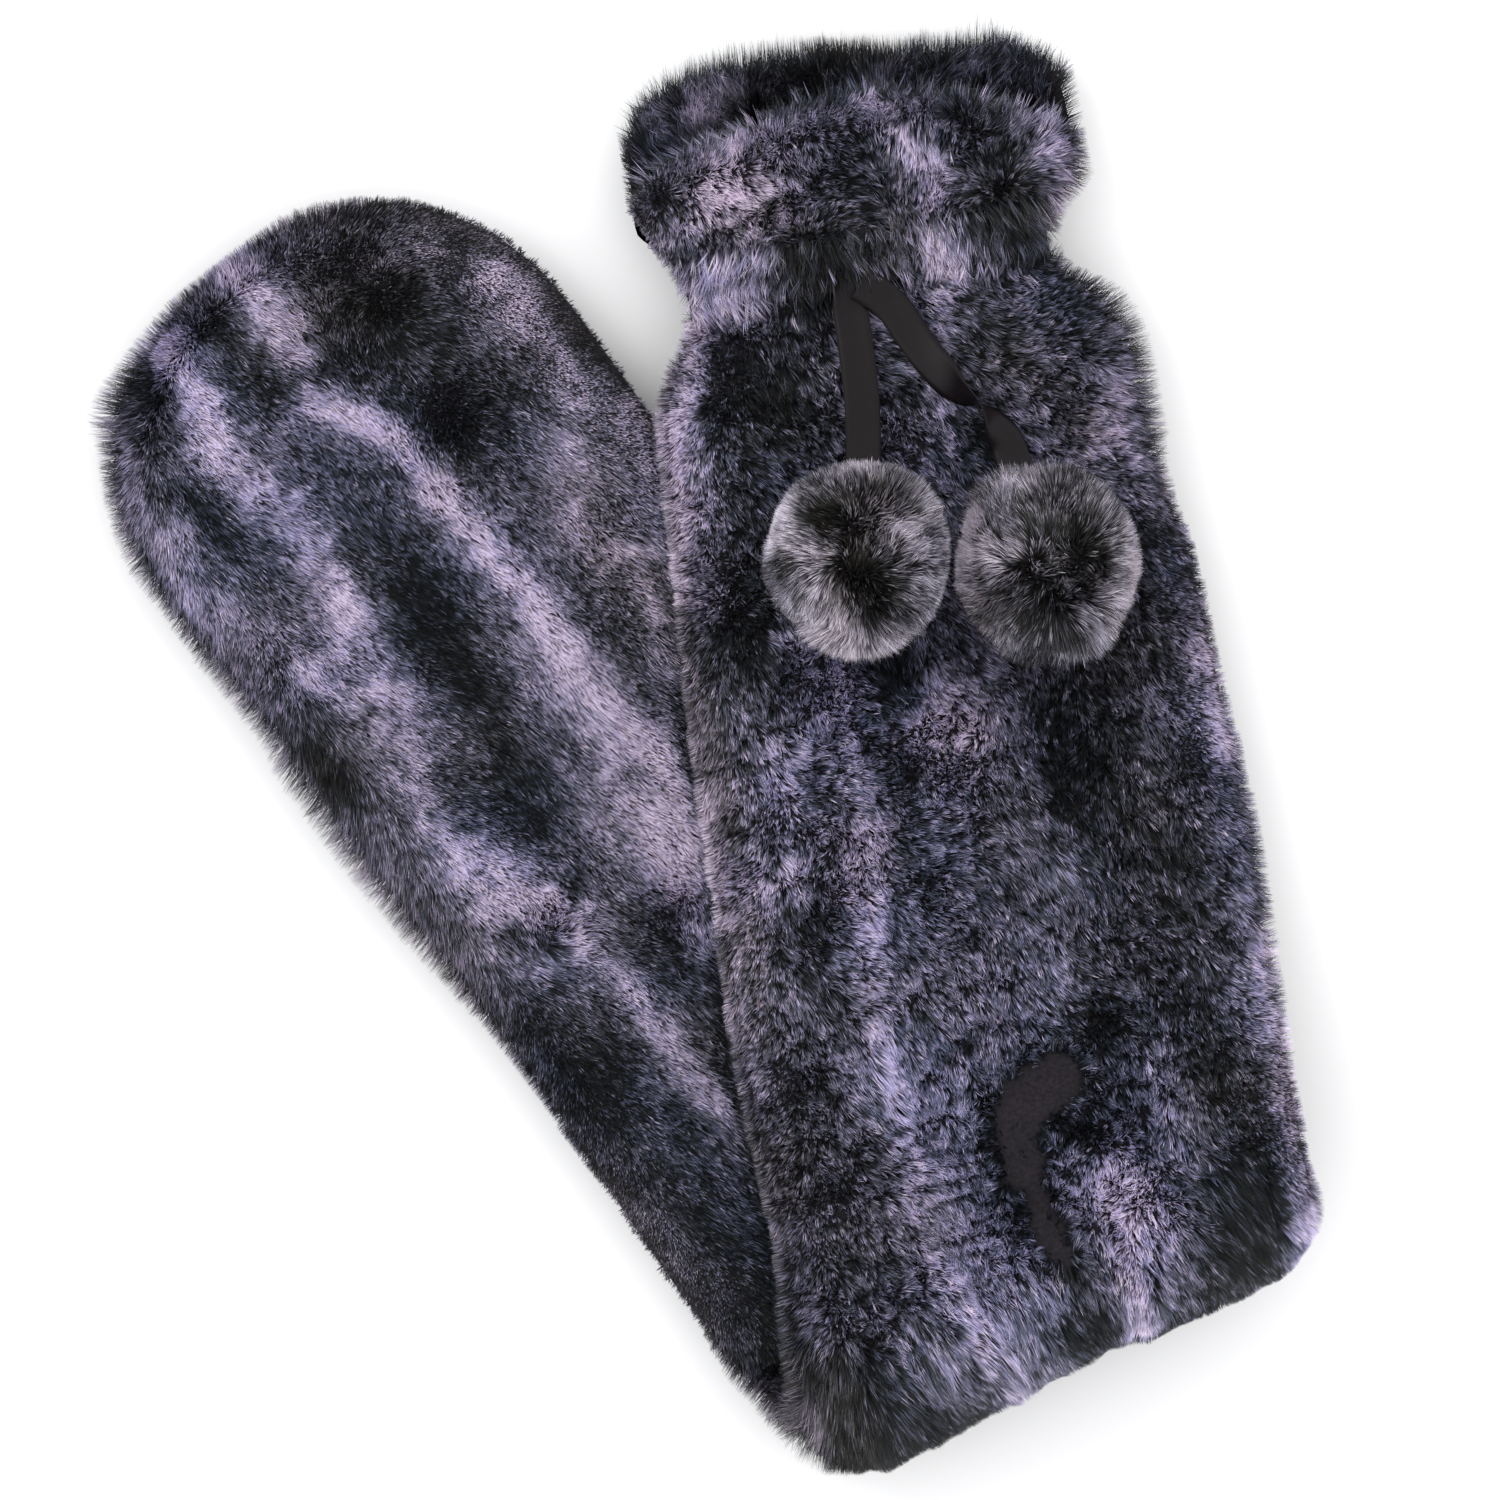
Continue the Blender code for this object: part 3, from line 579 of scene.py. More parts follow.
TONE_NOISE = ((34, 0.06, 11), (13, 0.07, 12), (6, 0.08, 13), (2.6, 0.12, 14))
STREAK_NOISE = ((9, 0.35, 31), (3.5, 0.3, 32))
STREAK_EDGE = 2.2  # how sharply a streak ends at its sides: 2 is soft
CONTACT_SHADE, CONTACT_WIDTH = 0.26, 3.2  # of the lower leaf beside the upper leaf
PARTING_SHADE, PARTING_WIDTH = 0.24, 5.0
CRIMPED = columns("along across length width", [(46, -18, 30, 20)])
CRIMP_LENGTH, CRIMP_TONE, CRIMP_LEAN = 4.4, 0.09, 0.7
FLECK_SIZE = 1.7
FLECKS = columns(  # places with strong flecks of pale and dark
    "front along across length width fleck",
    [
        (0, -189, -47, 11, 12, 0.45), (0, -172, -13, 7, 7, 0.30), (1, 362, 13, 16, 10, 0.30),
        (1, 350, -36, 16, 12, 0.20), (1, 326, 18, 12, 8, 0.25), (1, 150, -58, 20, 16, 0.20),
        (1, 284, 30, 40, 26, 0.16),
    ],
)


def tone_map(is_front):
    """How pale the pile is, from 0 to 1, with painted shade beside the upper leaf, round the parting and
    in the creases.
    """
    tone = USUAL_TONE[is_front] + uneven(TONE_NOISE, 40 * is_front) - spotted(DARK_PATCHES_AND_SHADE[is_front], "depth")
    wander = [1.2 * ripples(14, seed + is_front) + 1.8 * ripples(4, seed + 3) for seed in (17, 27)]
    patchy = 1 + uneven(STREAK_NOISE)
    for strength, width, *points in STREAKS[is_front]:
        away = np.min([from_stretch(*ends, wander) for ends in zip(points[:-1], points[1:])], axis=0)
        tone += strength * np.exp(-((away / width) ** STREAK_EDGE)) * patchy
    if is_front:
        tone += CRIMP_TONE * crimp() - PARTING_SHADE * (1 - eased(PARTED_FROM, 0, PARTING_WIDTH))
    else:
        beside = np.minimum(under_upper_leaf(A, B) - 1, 0)
        tone -= CONTACT_SHADE * np.exp(-((beside / CONTACT_WIDTH) ** 2))
    tone += ripples(FLECK_SIZE, 77) * spotted(of_panel(FLECKS, is_front), "fleck")
    return np.clip(tone, 0, 1)


def crimp():
    """Small even waves in the pile beside the place where it parts, from -1 to 1."""
    return np.sin(2 * math.pi * (A + 2.0 * ripples(12, 83)) / CRIMP_LENGTH) * next(bumps(CRIMPED, A, B))


USUAL_WARMTH, EDGE_WARMTH, WARM_EDGE = -0.2, 0.9, (1, 8)
WARMTH_NOISE = ((22, 0.8, 91),)
WARM_PLACES = columns(  # olive where the pile is dark, pink where it is pale; below 0 slate and lilac
    "front along across length width turn change",
    [
        (1, 130, -74, 150, 9, 0, 1.0), (1, 184, 2, 14, 12, 0, 1.2), (1, 348, -37, 14, 14, 0, 1.2),
        (1, 140, 52, 60, 16, -4, 0.8), (1, 330, -15, 16, 18, 0, 1.2), (1, 333, 41, 14, 14, 0, 1.0),
        (1, 85, -12, 70, 40, 0, -0.8), (1, 38, 24, 20, 12, 0, -1.0), (1, 360, 14, 20, 8, 0, 0.6),
        (1, 285, 40, 26, 12, -30, 0.8), (1, -5, -60, 20, 26, 0, 0.8), (0, -366, 25, 24, 18, 0, 1.2),
        (0, -215, 8, 40, 14, 0, 1.0), (0, -250, 38, 50, 14, 0, 0.8),
        (0, -350, -30, 40, 20, 0, -0.8), (0, -220, -48, 40, 12, 0, -0.8),
        (0, 388, 0, 16, 80, 0, 0.5),
    ],
)
WHORLS = columns(  # places that the pile turns away from, or in towards where away is negative
    "front along across length width away twist",
    [
        (0, -189, -50, 8, 9, 0.8, 1.6), (0, -171, -12, 8, 9, 1.0, -0.8),
        (0, -366, 25, 20, 16, 0.9, 0.3), (0, -326, 20, 12, 12, 0.7, 0.0),
        (1, 227, -62, 18, 16, 0.8, 0.0), (1, 292, -52, 16, 14, 0.6, 0.2),
        (1, 184, 2, 14, 14, -0.4, 0.4), (1, 88, 27, 9, 9, 0.7, 0.0), (1, 336, 42, 16, 16, 1.7, 0.0),
        (1, 329, -15, 14, 17, 1.4, 0.0), (1, 366, 35, 8, 8, 1.4, 0.0),
    ],
)
NAP = {True: (-0.60, 0.28), False: (0.90, 0.30)}  # the usual lean of the pile along and across the strip
UNEVEN_LAY = {True: 0.45, False: 0.20}
LAY_WAVES, LAY_SEEDS = ((30, 1.0), (14, 0.6)), (51, 52)  # size and share of each, and a seed for each way
LOCK_PULL = {True: 0.8, False: 0.30}  # how far tips gather into locks
LOCKS = ((4.0, 1.0, 71), (8.0, 0.6, 73))
WHORL_SIZE = 12.0  # how far out a whorl's lean grows
WHORL_SHARE = 0.7  # how much of the usual lean a whorl takes away
PARTING_LEAN, PARTING_BAND = 0.6, (1, 10)  # the lean away from the parting, and how far from it
EDGE_LEAN, EDGE_LEAN_BAND = 0.15, (1, 14)  # the least lean outwards at the edges, and how far in
STEEPEST = 0.6  # slope of backing that the pile still follows
SEAM_BAND, SEAM_SHARE = 2.5, 0.55  # this near the edge, this share of the hairs stands out over the seam
SEAM_NAP = 0.4  # how much of the usual lean those hairs keep
SEAM_RISE = (-0.35, 0.5)  # how far down or up they point
SEAM_HEIGHT = 0.6  # how high up to the backing's outer face they start, at the most
MOST_UNEVEN = 1.03  # the longest hair, against one that just fills the room that it has
PILE_REACH = 3.5  # for the thickness of the pile where its lean spreads or gathers it
THINNED = (0.7, 2.5)  # the least and the most that this does


def warm_map(is_front):
    """How warm the pile's colour is, from about -1 to 1."""
    warm = uneven(WARMTH_NOISE, is_front) + USUAL_WARMTH
    warm += spotted(of_panel(WARM_PLACES, is_front), "change")
    return warm + EDGE_WARMTH * (1 - eased(INSET, *WARM_EDGE))


def lay_maps(is_front):
    """The pile's lean along and across the strip, and how far that thins it out."""
    lean = [np.full(A.shape, part) for part in NAP[is_front]]
    for k, seed in enumerate(LAY_SEEDS):
        for size, share in LAY_WAVES:
            lean[k] += UNEVEN_LAY[is_front] * share * ripples(size, seed + size + 3 * is_front)
    table = of_panel(WHORLS, is_front)
    middles = zip(*(table[key] for key in ("along", "across", "away", "twist")))
    for (a0, b0, away, twist), bump in zip(middles, bumps(table, A, B)):
        u, v = (A - a0) / WHORL_SIZE, (B - b0) / WHORL_SIZE
        far = np.maximum(np.hypot(u, v), 1)
        kept = 1 - WHORL_SHARE * bump
        lean[0] = lean[0] * kept + bump * (away * u - twist * v) / far
        lean[1] = lean[1] * kept + bump * (away * v + twist * u) / far
    outward = [-slope for slope in np.gradient(BACKING_INSET)]
    short = np.maximum(EDGE_LEAN - lean[0] * outward[0] - lean[1] * outward[1], 0)
    short *= 1 - eased(BACKING_INSET, *EDGE_LEAN_BAND)
    lean = [part + short * way for part, way in zip(lean, outward)]
    if is_front:
        lean[0] += CRIMP_LEAN * crimp()
        parted = 1 - eased(PARTED_FROM, *PARTING_BAND)
        for k, slope in enumerate(np.gradient(PARTED_FROM)):
            lean[k] = lean[k] * (1 - parted) + PARTING_LEAN * slope * parted
    pull = [LOCK_PULL[is_front] * slope for slope in np.gradient(uneven(LOCKS, is_front))]
    slopes = np.gradient(MAPS[is_front]["backing"])
    level = np.minimum(1, STEEPEST / np.maximum(np.hypot(*slopes), 1e-9))
    aim = [part - slope * level for part, slope in zip(lean, slopes)]
    thinned = 1 + PILE_REACH * (np.gradient(aim[0])[0] + np.gradient(aim[1])[1])
    return aim[0] + pull[0], aim[1] + pull[1], np.clip(thinned, *THINNED)


TONES = {side: tone_map(side) for side in MAPS}
WARMTH = {side: warm_map(side) for side in MAPS}


# Hairs on the flat strip


def scattered(draw, hairs_here, hairs_each):
    """Tuft centres as thick as the map says, each hair's tuft, and its place from the tuft's centre."""
    rows = np.arange(MAP_ALONG[0], MAP_ALONG[-1], TUFT_SPACING)
    cols = np.arange(MAP_ACROSS[0], MAP_ACROSS[-1], TUFT_SPACING)
    centres = np.stack(np.meshgrid(rows, cols, indexing="ij"), axis=-1).reshape(-1, 2)
    centres += draw.uniform(-0.5, 0.5, centres.shape) * TUFT_SPACING
    share = at(hairs_here, centres[:, 0], centres[:, 1]) / hairs_each * TUFT_SPACING**2
    centres = centres[draw.random(len(centres)) < share]
    tufts = np.repeat(np.arange(len(centres)), hairs_each)
    return centres, tufts, draw.normal(0, TUFT_SPREAD, (len(tufts), 2))


def reach(room, root, aim, longest):
    """How far each hair runs before it comes out of the room that it has."""
    short, far = np.zeros(len(root)), np.full(len(root), longest)
    for _ in range(8):
        middle = (short + far) / 2
        place = root + aim * middle[:, None]
        inside = place[:, 2] < at(room, place[:, 0], place[:, 1])
        short, far = np.where(inside, middle, short), np.where(inside, far, middle)
    return short


def dyed(is_front, tip, tufts, draw):
    """The tone and hue of each hair, by where its tip shows."""
    count = tufts[-1] + 1
    tone = at(TONES[is_front], tip[:, 0], tip[:, 1])
    tone = tone + draw.normal(0, TUFT_TONE_NOISE, count)[tufts]
    tone = tone + draw.normal(0, HAIR_TONE_NOISE, len(tufts))
    warm = at(WARMTH[is_front], tip[:, 0], tip[:, 1]) + draw.normal(0, TUFT_WARMTH_NOISE, count)[tufts]
    return tone, np.clip(np.round(1 + HUE_SPREAD * warm), 0, HUES - 1)


def unit(vectors):
    """These vectors, each one long."""
    return vectors / np.maximum(np.linalg.norm(vectors, axis=1), 1e-9)[:, None]


def coat(is_front, draw):
    """The outer pile of a panel."""
    maps = MAPS[is_front]
    shown = eased(A if is_front else -A, *SHOWN_FROM)
    if not is_front:
        shown = shown * (1 - eased(under_upper_leaf(A, B), *COVERED))
    hairs_here = HAIRS_HIDDEN + (HAIRS_SHOWN - HAIRS_HIDDEN) * shown
    if is_front:
        bend = 1 - eased(np.abs(SQUARE_TO_FOLD), *FOLD_BAND)
        hairs_here = np.maximum(hairs_here, HAIRS_AT_FOLD * bend)
    edge = 1 - eased(BACKING_INSET, *EDGE_BAND)
    hairs_here += (HAIRS_AT_EDGE * (EDGE_HIDDEN + (1 - EDGE_HIDDEN) * shown) - hairs_here) * edge
    to_rim = maps["rim"] - RIM_MARGIN - A
    hairs_here += HAIRS_AT_RIM * (1 - eased(to_rim, 0, RIM_BAND))
    *lay, thinned = lay_maps(is_front)
    hairs_here *= thinned * (1 - PARTING_BARE * eased(maps["parting"], 0.2, 0.8))
    hairs_here *= eased(np.abs(A - NECK_ALONG), *RIBBON_CLEAR)
    hairs_here[(to_rim <= 0) | (BACKING_INSET <= ROOT_INSET)] = 0
    centres, tufts, offset = scattered(draw, hairs_here, TUFT_HAIRS[is_front])
    along, across = (centres[tufts] + offset).T
    lean = np.stack([at(part, *centres.T) for part in lay], axis=1)
    lean += draw.normal(0, TUFT_LEAN_NOISE, lean.shape)
    aim = np.ones((len(along), 3))
    aim[:, :2] = lean[tufts] - TUFT_GATHER * offset + draw.normal(0, HAIR_LEAN_NOISE, offset.shape)
    close = 1 - eased(at(to_rim, along, across), 0, RIM_LEAN_BAND)
    aim[:, 0] += close * draw.uniform(*RIM_LEAN, len(along))
    root = np.stack([along, across, at(maps["backing"], along, across) - ROOT_DEPTH], axis=1)
    seam = (at(BACKING_INSET, along, across) < SEAM_BAND) & (draw.random(len(along)) < SEAM_SHARE)
    for k, slope in enumerate(np.gradient(BACKING_INSET)):
        aim[seam, k] = SEAM_NAP * aim[seam, k] - at(slope, along, across)[seam]
    aim[seam, 2] = draw.uniform(*SEAM_RISE, seam.sum())
    root[seam, 2] *= draw.uniform(0, SEAM_HEIGHT, seam.sum())
    aim = unit(aim)
    length = reach(maps["room"], root, aim, LONGEST)
    longer = np.exp(draw.normal(0, LENGTH_NOISE, len(centres)))[tufts]
    longer *= np.exp(draw.normal(0, LENGTH_NOISE, len(root)))
    tip = root + aim * np.clip(length * np.minimum(longer, MOST_UNEVEN), SHORTEST, LONGEST)[:, None]
    return root, tip, *dyed(is_front, tip, tufts, draw)


WITHIN = np.where(INSET > 1, ABOVE_ALL, -ABOVE_ALL)  # no hair past the outline


def lining(is_front, draw):
    """The pile turned in at the collar's rim, on the panel's inner face."""
    maps = MAPS[is_front]
    depth = maps["rim"] - RIM_MARGIN - A
    hairs_here = HAIRS_IN_LINING * (1 - eased(depth, *LINING_BAND)) * (BACKING_INSET > LINING_INSET)
    centres, tufts, offset = scattered(draw, np.where(depth > 0, hairs_here, 0), TUFT_HAIRS[is_front])
    along, across = (centres[tufts] + offset).T
    down = at(depth, along, across)
    root = np.stack([along, across, at(maps["backing"], along, across) - CLOTH], axis=1)
    inward = -1.0 + TURNED_OUT * (1 - eased(down, 0, TURNED_OUT_BAND)) * draw.random(len(along))
    aim = unit(np.stack([np.full(len(along), LINING_LEAN), across / LINING_FAN, inward], axis=1))
    aim[:, :2] += draw.normal(0, LINING_NOISE, (len(centres), 2))[tufts] - TUFT_GATHER * offset
    for k, size in enumerate(LINING_WAVES):
        waves = ripples(size, LINING_WAVE_SEED + k + is_front)
        aim[:, k] += LINING_WAVE_LEAN * at(waves, along, across)
    length = np.minimum(LINING_LONGEST, (down + RIM_MARGIN + RIM_FRINGE) / LINING_LEAN)
    length *= draw.uniform(*LINING_VARIED, len(along))
    aim = unit(aim)
    tip = root + aim * np.minimum(length, reach(WITHIN, root, aim, LONGEST))[:, None]
    return root, tip, *dyed(is_front, tip, tufts, draw)


def ruffle(is_front, draw):
    """The long hair above and below the ribbon round the neck, which hides it."""
    maps = MAPS[is_front]
    above, below = ((low < A) & (A < high) for low, high in (RUFFLE_ABOVE, RUFFLE_BELOW))
    foot = (above | below & (np.abs(B - KNOT_ACROSS) > KNOT_CLEAR)) & (BACKING_INSET > RUFFLE_INSET)
    centres, tufts, offset = scattered(draw, np.where(foot, HAIRS_IN_RUFFLE, 0), TUFT_HAIRS[is_front])
    along, across = (centres[tufts] + offset).T
    root = np.stack([along, across, at(maps["backing"], along, across)], axis=1)
    to_ribbon = np.where(centres[:, 0] < NECK_ALONG, RUFFLE_LEAN, -RUFFLE_LEAN)
    lean = [
        way + draw.normal(0, noise, len(centres))
        for way, noise in zip((to_ribbon, centres[:, 1] / RUFFLE_FAN), RUFFLE_NOISE)
    ]
    tuft_aim = np.stack([*lean, draw.uniform(*RUFFLE_RISE, len(centres))], axis=1)
    aim = unit(tuft_aim[tufts] + draw.normal(0, RUFFLE_HAIR_NOISE, (len(tufts), 3)))
    bulge = at(maps["bulges"], *centres.T)
    length = (draw.uniform(*RUFFLE_LENGTH, len(centres)) + RUFFLE_OVER_BULGE * bulge)[tufts]
    length *= draw.uniform(*RUFFLE_VARIED, len(tufts))
    tip = root + aim * np.minimum(length, reach(WITHIN, root, aim, LONGEST))[:, None]
    return root, tip, *dyed(is_front, tip, tufts, draw)


# Meshes


def material(name):
    """A new material, its nodes and links, and its shader."""
    made = bpy.data.materials.new(name)
    made.use_nodes = True
    return made, made.node_tree.nodes, made.node_tree.links, made.node_tree.nodes["Principled BSDF"]


def mesh_object(name, points, triangles, finish, tints=None):
    """A smooth mesh of triangles, in millimetres; tints are the map places of the triangles' corners."""
    mesh = bpy.data.meshes.new(name)
    mesh.vertices.add(len(points))
    mesh.vertices.foreach_set("co", (np.asarray(points) * MM).astype(np.float32).ravel())
    mesh.loops.add(triangles.size)
    mesh.loops.foreach_set("vertex_index", triangles.astype(np.int32).ravel())
    mesh.polygons.add(len(triangles))
    mesh.polygons.foreach_set("loop_start", np.arange(0, triangles.size, 3, dtype=np.int32))
    if tints is not None:
        chart = mesh.uv_layers.new(name="OFBake")
        chart.data.foreach_set("uv", tints.astype(np.float32).ravel())
    mesh.update(calc_edges=True)
    mesh.shade_smooth()
    mesh.materials.append(finish)
    made = bpy.data.objects.new(name, mesh)
    bpy.context.scene.collection.objects.link(made)
    return made


def hairs(root, tip, outward, width, draw):
    """Points and triangles of tapered hairs, one triangle each."""
    side = unit(np.cross(tip - root, outward))
    lifted = unit(np.cross(side, tip - root))
    roll = draw.normal(0, ROLL_NOISE, len(root))[:, None]
    half = (side * np.cos(roll) + lifted * np.sin(roll)) * (width / 2)[:, None]
    points = np.stack([root - half, root + half, tip], axis=1)
    return points.reshape(-1, 3), np.arange(3 * len(root)).reshape(-1, 3)


def hair_tints(tone, hue):
    """The tint map's places for the corners of each hair."""
    tone = np.clip(tone, 0.01, 0.99)
    base, top = (hue + BAND_MARGIN) / HUES, (hue + 1 - BAND_MARGIN) / HUES
    corners = [(tone - TINT_WIDTH, base), (tone + TINT_WIDTH, base), (tone, top)]
    return np.stack([np.stack(corner, axis=-1) for corner in corners], axis=1)


def hair_pieces(name, base, end, outward, width, tone, hue, finish, draw):
    """Hairs as joined meshes, small enough to handle."""
    count, pieces = math.ceil(len(base) / PIECE_HAIRS), []
    for k, part in enumerate(np.array_split(np.arange(len(base)), count)):
        points, triangles = hairs(base[part], end[part], outward[part], width[part], draw)
        points[:, 2] = np.maximum(points[:, 2], HAIR_CLEAR)
        tints = hair_tints(tone[part], hue[part])
        pieces.append(mesh_object(f"{name}_{k + 1}", points, triangles, finish, tints))
    return pieces


def folded(points, side):
    """Points of one panel's side of the flat strip, in their place on the table."""
    curl = RIM_CURL * eased(points[..., 0], *CURL_BAND) if side < 0 else 0
    place = fold(points[..., 0], points[..., 1], side * (points[..., 2] + SEAM_GAP / 2) + curl)
    place[..., 2] = np.maximum(place[..., 2], CLOTH_CLEAR)
    return place


def make_pile(name, is_front, finish):
    """The pile of one panel."""
    side, draw = (1 if is_front else -1), np.random.default_rng(PILE_SEED + is_front)
    growths = [grow(is_front, draw) for grow in (coat, lining, ruffle)]
    root, tip, tone, hue = (np.concatenate(parts) for parts in zip(*growths))
    order = np.argsort(-root[:, 0])
    root, tip, tone, hue = root[order], tip[order], tone[order], hue[order]
    base, end = folded(root, side), folded(tip, side)
    outward = folded(root + np.array([0, 0, 1.0]), side) - base
    rim = at(MAPS[is_front]["rim"], *root[:, :2].T) - RIM_MARGIN - root[:, 0]
    near = np.minimum(at(BACKING_INSET, *root[:, :2].T), rim)
    fine = EDGE_FINENESS + (1 - EDGE_FINENESS) * eased(near, *FINE_BAND)
    width = HAIR_WIDTH[is_front] * np.exp(draw.normal(0, WIDTH_NOISE, len(root))) * fine
    return hair_pieces(f"{name}_pile", base, end, outward, width, tone, hue, finish, draw)


def backing_grid(is_front):
    """The along and across of a backing's points, a row for each place up the strip."""
    spread = np.sin(np.linspace(-QUARTER_TURN, QUARTER_TURN, BACKING_COLUMNS))
    end = ROUND_START - (ROUND_LENGTH - PILE_MARGIN) * ROUND_END_ROWS
    body = np.concatenate([end, np.arange(ROUND_START, COLLAR_START, BACKING_STEP)])
    rows = np.linspace(0, 1, COLLAR_ROWS + 1)[1:]
    mean_rim = RIM["front" if is_front else "back"].mean() - RIM_MARGIN
    middle = np.concatenate([body, COLLAR_START + (mean_rim - COLLAR_START) * rows])
    left, right = edges(middle, PILE_MARGIN)
    across = (left + right)[:, None] / 2 + (right - left)[:, None] / 2 * spread
    along = np.repeat(middle[:, None], len(spread), axis=1)
    rim = read(RIM, "front" if is_front else "back", across[len(body):], key="across") - RIM_MARGIN
    along[len(body):] = COLLAR_START + (rim - COLLAR_START) * rows[:, None]
    return along, across


def sheet_triangles(rows, cols):
    """Triangles of a closed sheet: an outer grid, and an inner one that shares its two side columns."""
    outer = np.arange(rows * cols).reshape(rows, cols)
    inner = outer.copy()
    inner[:, 1:-1] = rows * cols + np.arange(rows * (cols - 2)).reshape(rows, cols - 2)
    triangles = []
    for grid, turned in ((outer, False), (inner, True)):
        a, b, c, d = grid[:-1, :-1], grid[:-1, 1:], grid[1:, 1:], grid[1:, :-1]
        for corners in [(a, c, b), (a, d, c)] if turned else [(a, b, c), (a, c, d)]:
            triangles.append(np.stack(corners, -1).reshape(-1, 3))
    for row, turned in ((0, True), (rows - 1, False)):
        for j in range(cols - 1):
            a, b, c, d = outer[row, j], outer[row, j + 1], inner[row, j + 1], inner[row, j]
            corners = [(a, b, c), (a, c, d)] if not turned else [(a, c, b), (a, d, c)]
            triangles.append(np.array([t for t in corners if len(set(t)) == 3]))
    return np.concatenate(triangles)


def make_backing(name, is_front, finish):
    """The backing cloth of one panel, a thin closed sheet."""
    along, across = backing_grid(is_front)
    side = 1 if is_front else -1
    outer = at(MAPS[is_front]["backing"], along, across)
    outer[:, [0, -1]] = 0
    inner = np.maximum(outer - CLOTH, 0) * bowed(at(BACKING_INSET, along, across) / THIN_EDGE)
    faces = [np.stack([along, across, outer], -1), np.stack([along, across, inner], -1)[:, 1:-1]]
    points = np.concatenate([folded(face, side).reshape(-1, 3) for face in faces])
    triangles = sheet_triangles(*along.shape)
    return mesh_object(name, points, triangles if is_front else triangles[:, ::-1], finish)


# The ribbon


def tree_of(node):
    """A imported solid's surface, for letting things down on to it or finding it from inside."""
    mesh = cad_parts[node].data
    return BVHTree.FromPolygons([v.co for v in mesh.vertices], [f.vertices for f in mesh.polygons])


def resting_on(surface, place, lift):
    """These places moved straight up or down to lie this far above a surface."""
    place = place.copy()
    for point, height in zip(place, np.broadcast_to(lift, len(place))):
        start = Vector((point[0], point[1], ABOVE_ALL)) * MM
        found = surface.ray_cast(start, Vector((0, 0, -1)))[0]
        point[2] = (found.z / MM if found else 0) + height
    return place


def ribbon_strip(path, side, width, closed=False):
    """Points and triangles of a thin strip of ribbon along a path, slightly cupped across its width."""
    ahead = np.roll(path, -1, axis=0) - np.roll(path, 1, axis=0)
    if not closed:
        ahead[0], ahead[-1] = path[1] - path[0], path[-1] - path[-2]
    ahead = unit(ahead)
    side = unit(side - ahead * (side * ahead).sum(1)[:, None])
    up = unit(np.cross(side, ahead))
    profile = np.linspace(-1, 1, RIBBON_COLUMNS)
    cup = RIBBON_CUP * (1 - profile**2)
    ring = [(s, c + RIBBON_CLOTH / 2) for s, c in zip(profile, cup)]
    ring += [(s, c - RIBBON_CLOTH / 2) for s, c in zip(profile[::-1], cup[::-1])]
    points = np.stack([path + s * width / 2 * side + u * up for s, u in ring], axis=1)
    count, around = len(path), len(ring)
    triangles = []
    for i in range(count if closed else count - 1):
        a, b = around * i, around * ((i + 1) % count)
        for k in range(around):
            j = (k + 1) % around
            triangles += [(a + k, b + k, b + j), (a + k, b + j, a + j)]
    if not closed:
        last = around * (count - 1)
        triangles += [(0, k, k + 1) for k in range(1, around - 1)]
        triangles += [(last, last + k + 1, last + k) for k in range(1, around - 1)]
    return points.reshape(-1, 3), np.array(triangles)


def neck_loop():
    """The ribbon's tight run round the neck, down in the pile."""
    turn = np.linspace(0, 2 * math.pi, LOOP_STEPS + 1)[:-1]
    left, right = edges(np.array(NECK_ALONG))
    across = (left + right) / 2 - (right - left) / 2 * np.cos(turn)
    level = {side: at(MAPS[side]["backing"], np.full(len(turn), NECK_ALONG), across) for side in MAPS}
    rise = np.where(turn < math.pi, level[True], level[False])
    height = np.sign(math.pi - turn) * (rise + LOOP_LIFT) * bowed(np.abs(np.sin(turn)) * 1.2)
    path = fold(np.full(len(turn), NECK_ALONG), across, height)
    return ribbon_strip(path, np.tile([0.0, 1.0, 0.0], (len(path), 1)), RIBBON_WIDTH, closed=True)


def ribbon_end(route, surface):
    """One hanging end of the ribbon, over the front panel."""
    stations = np.arange(len(route["along"]), dtype=float)
    finer = np.linspace(0, stations[-1], TAIL_STEPS)
    along, across, lift, roll = (
        read(route | {"station": stations}, name, finer, key="station")
        for name in ("along", "across", "lift", "roll")
    )
    path = resting_on(surface, fold(along, across, LEAF_THICKNESS / 2), 0.0)
    smooth = path[:, 2].copy()
    for _ in range(TAIL_SMOOTHING):
        smooth[1:-1] = (smooth[:-2] + smooth[1:-1] + smooth[2:]) / 3
    path[:, 2] = smooth + lift - TAIL_SINK
    ahead = np.gradient(path, axis=0)
    level = unit(np.cross([0.0, 0.0, 1.0], ahead))
    up = unit(np.cross(ahead, level))
    roll = np.radians(roll)[:, None]
    return ribbon_strip(path, level * np.cos(roll) + up * np.sin(roll), TAIL_WIDTH)


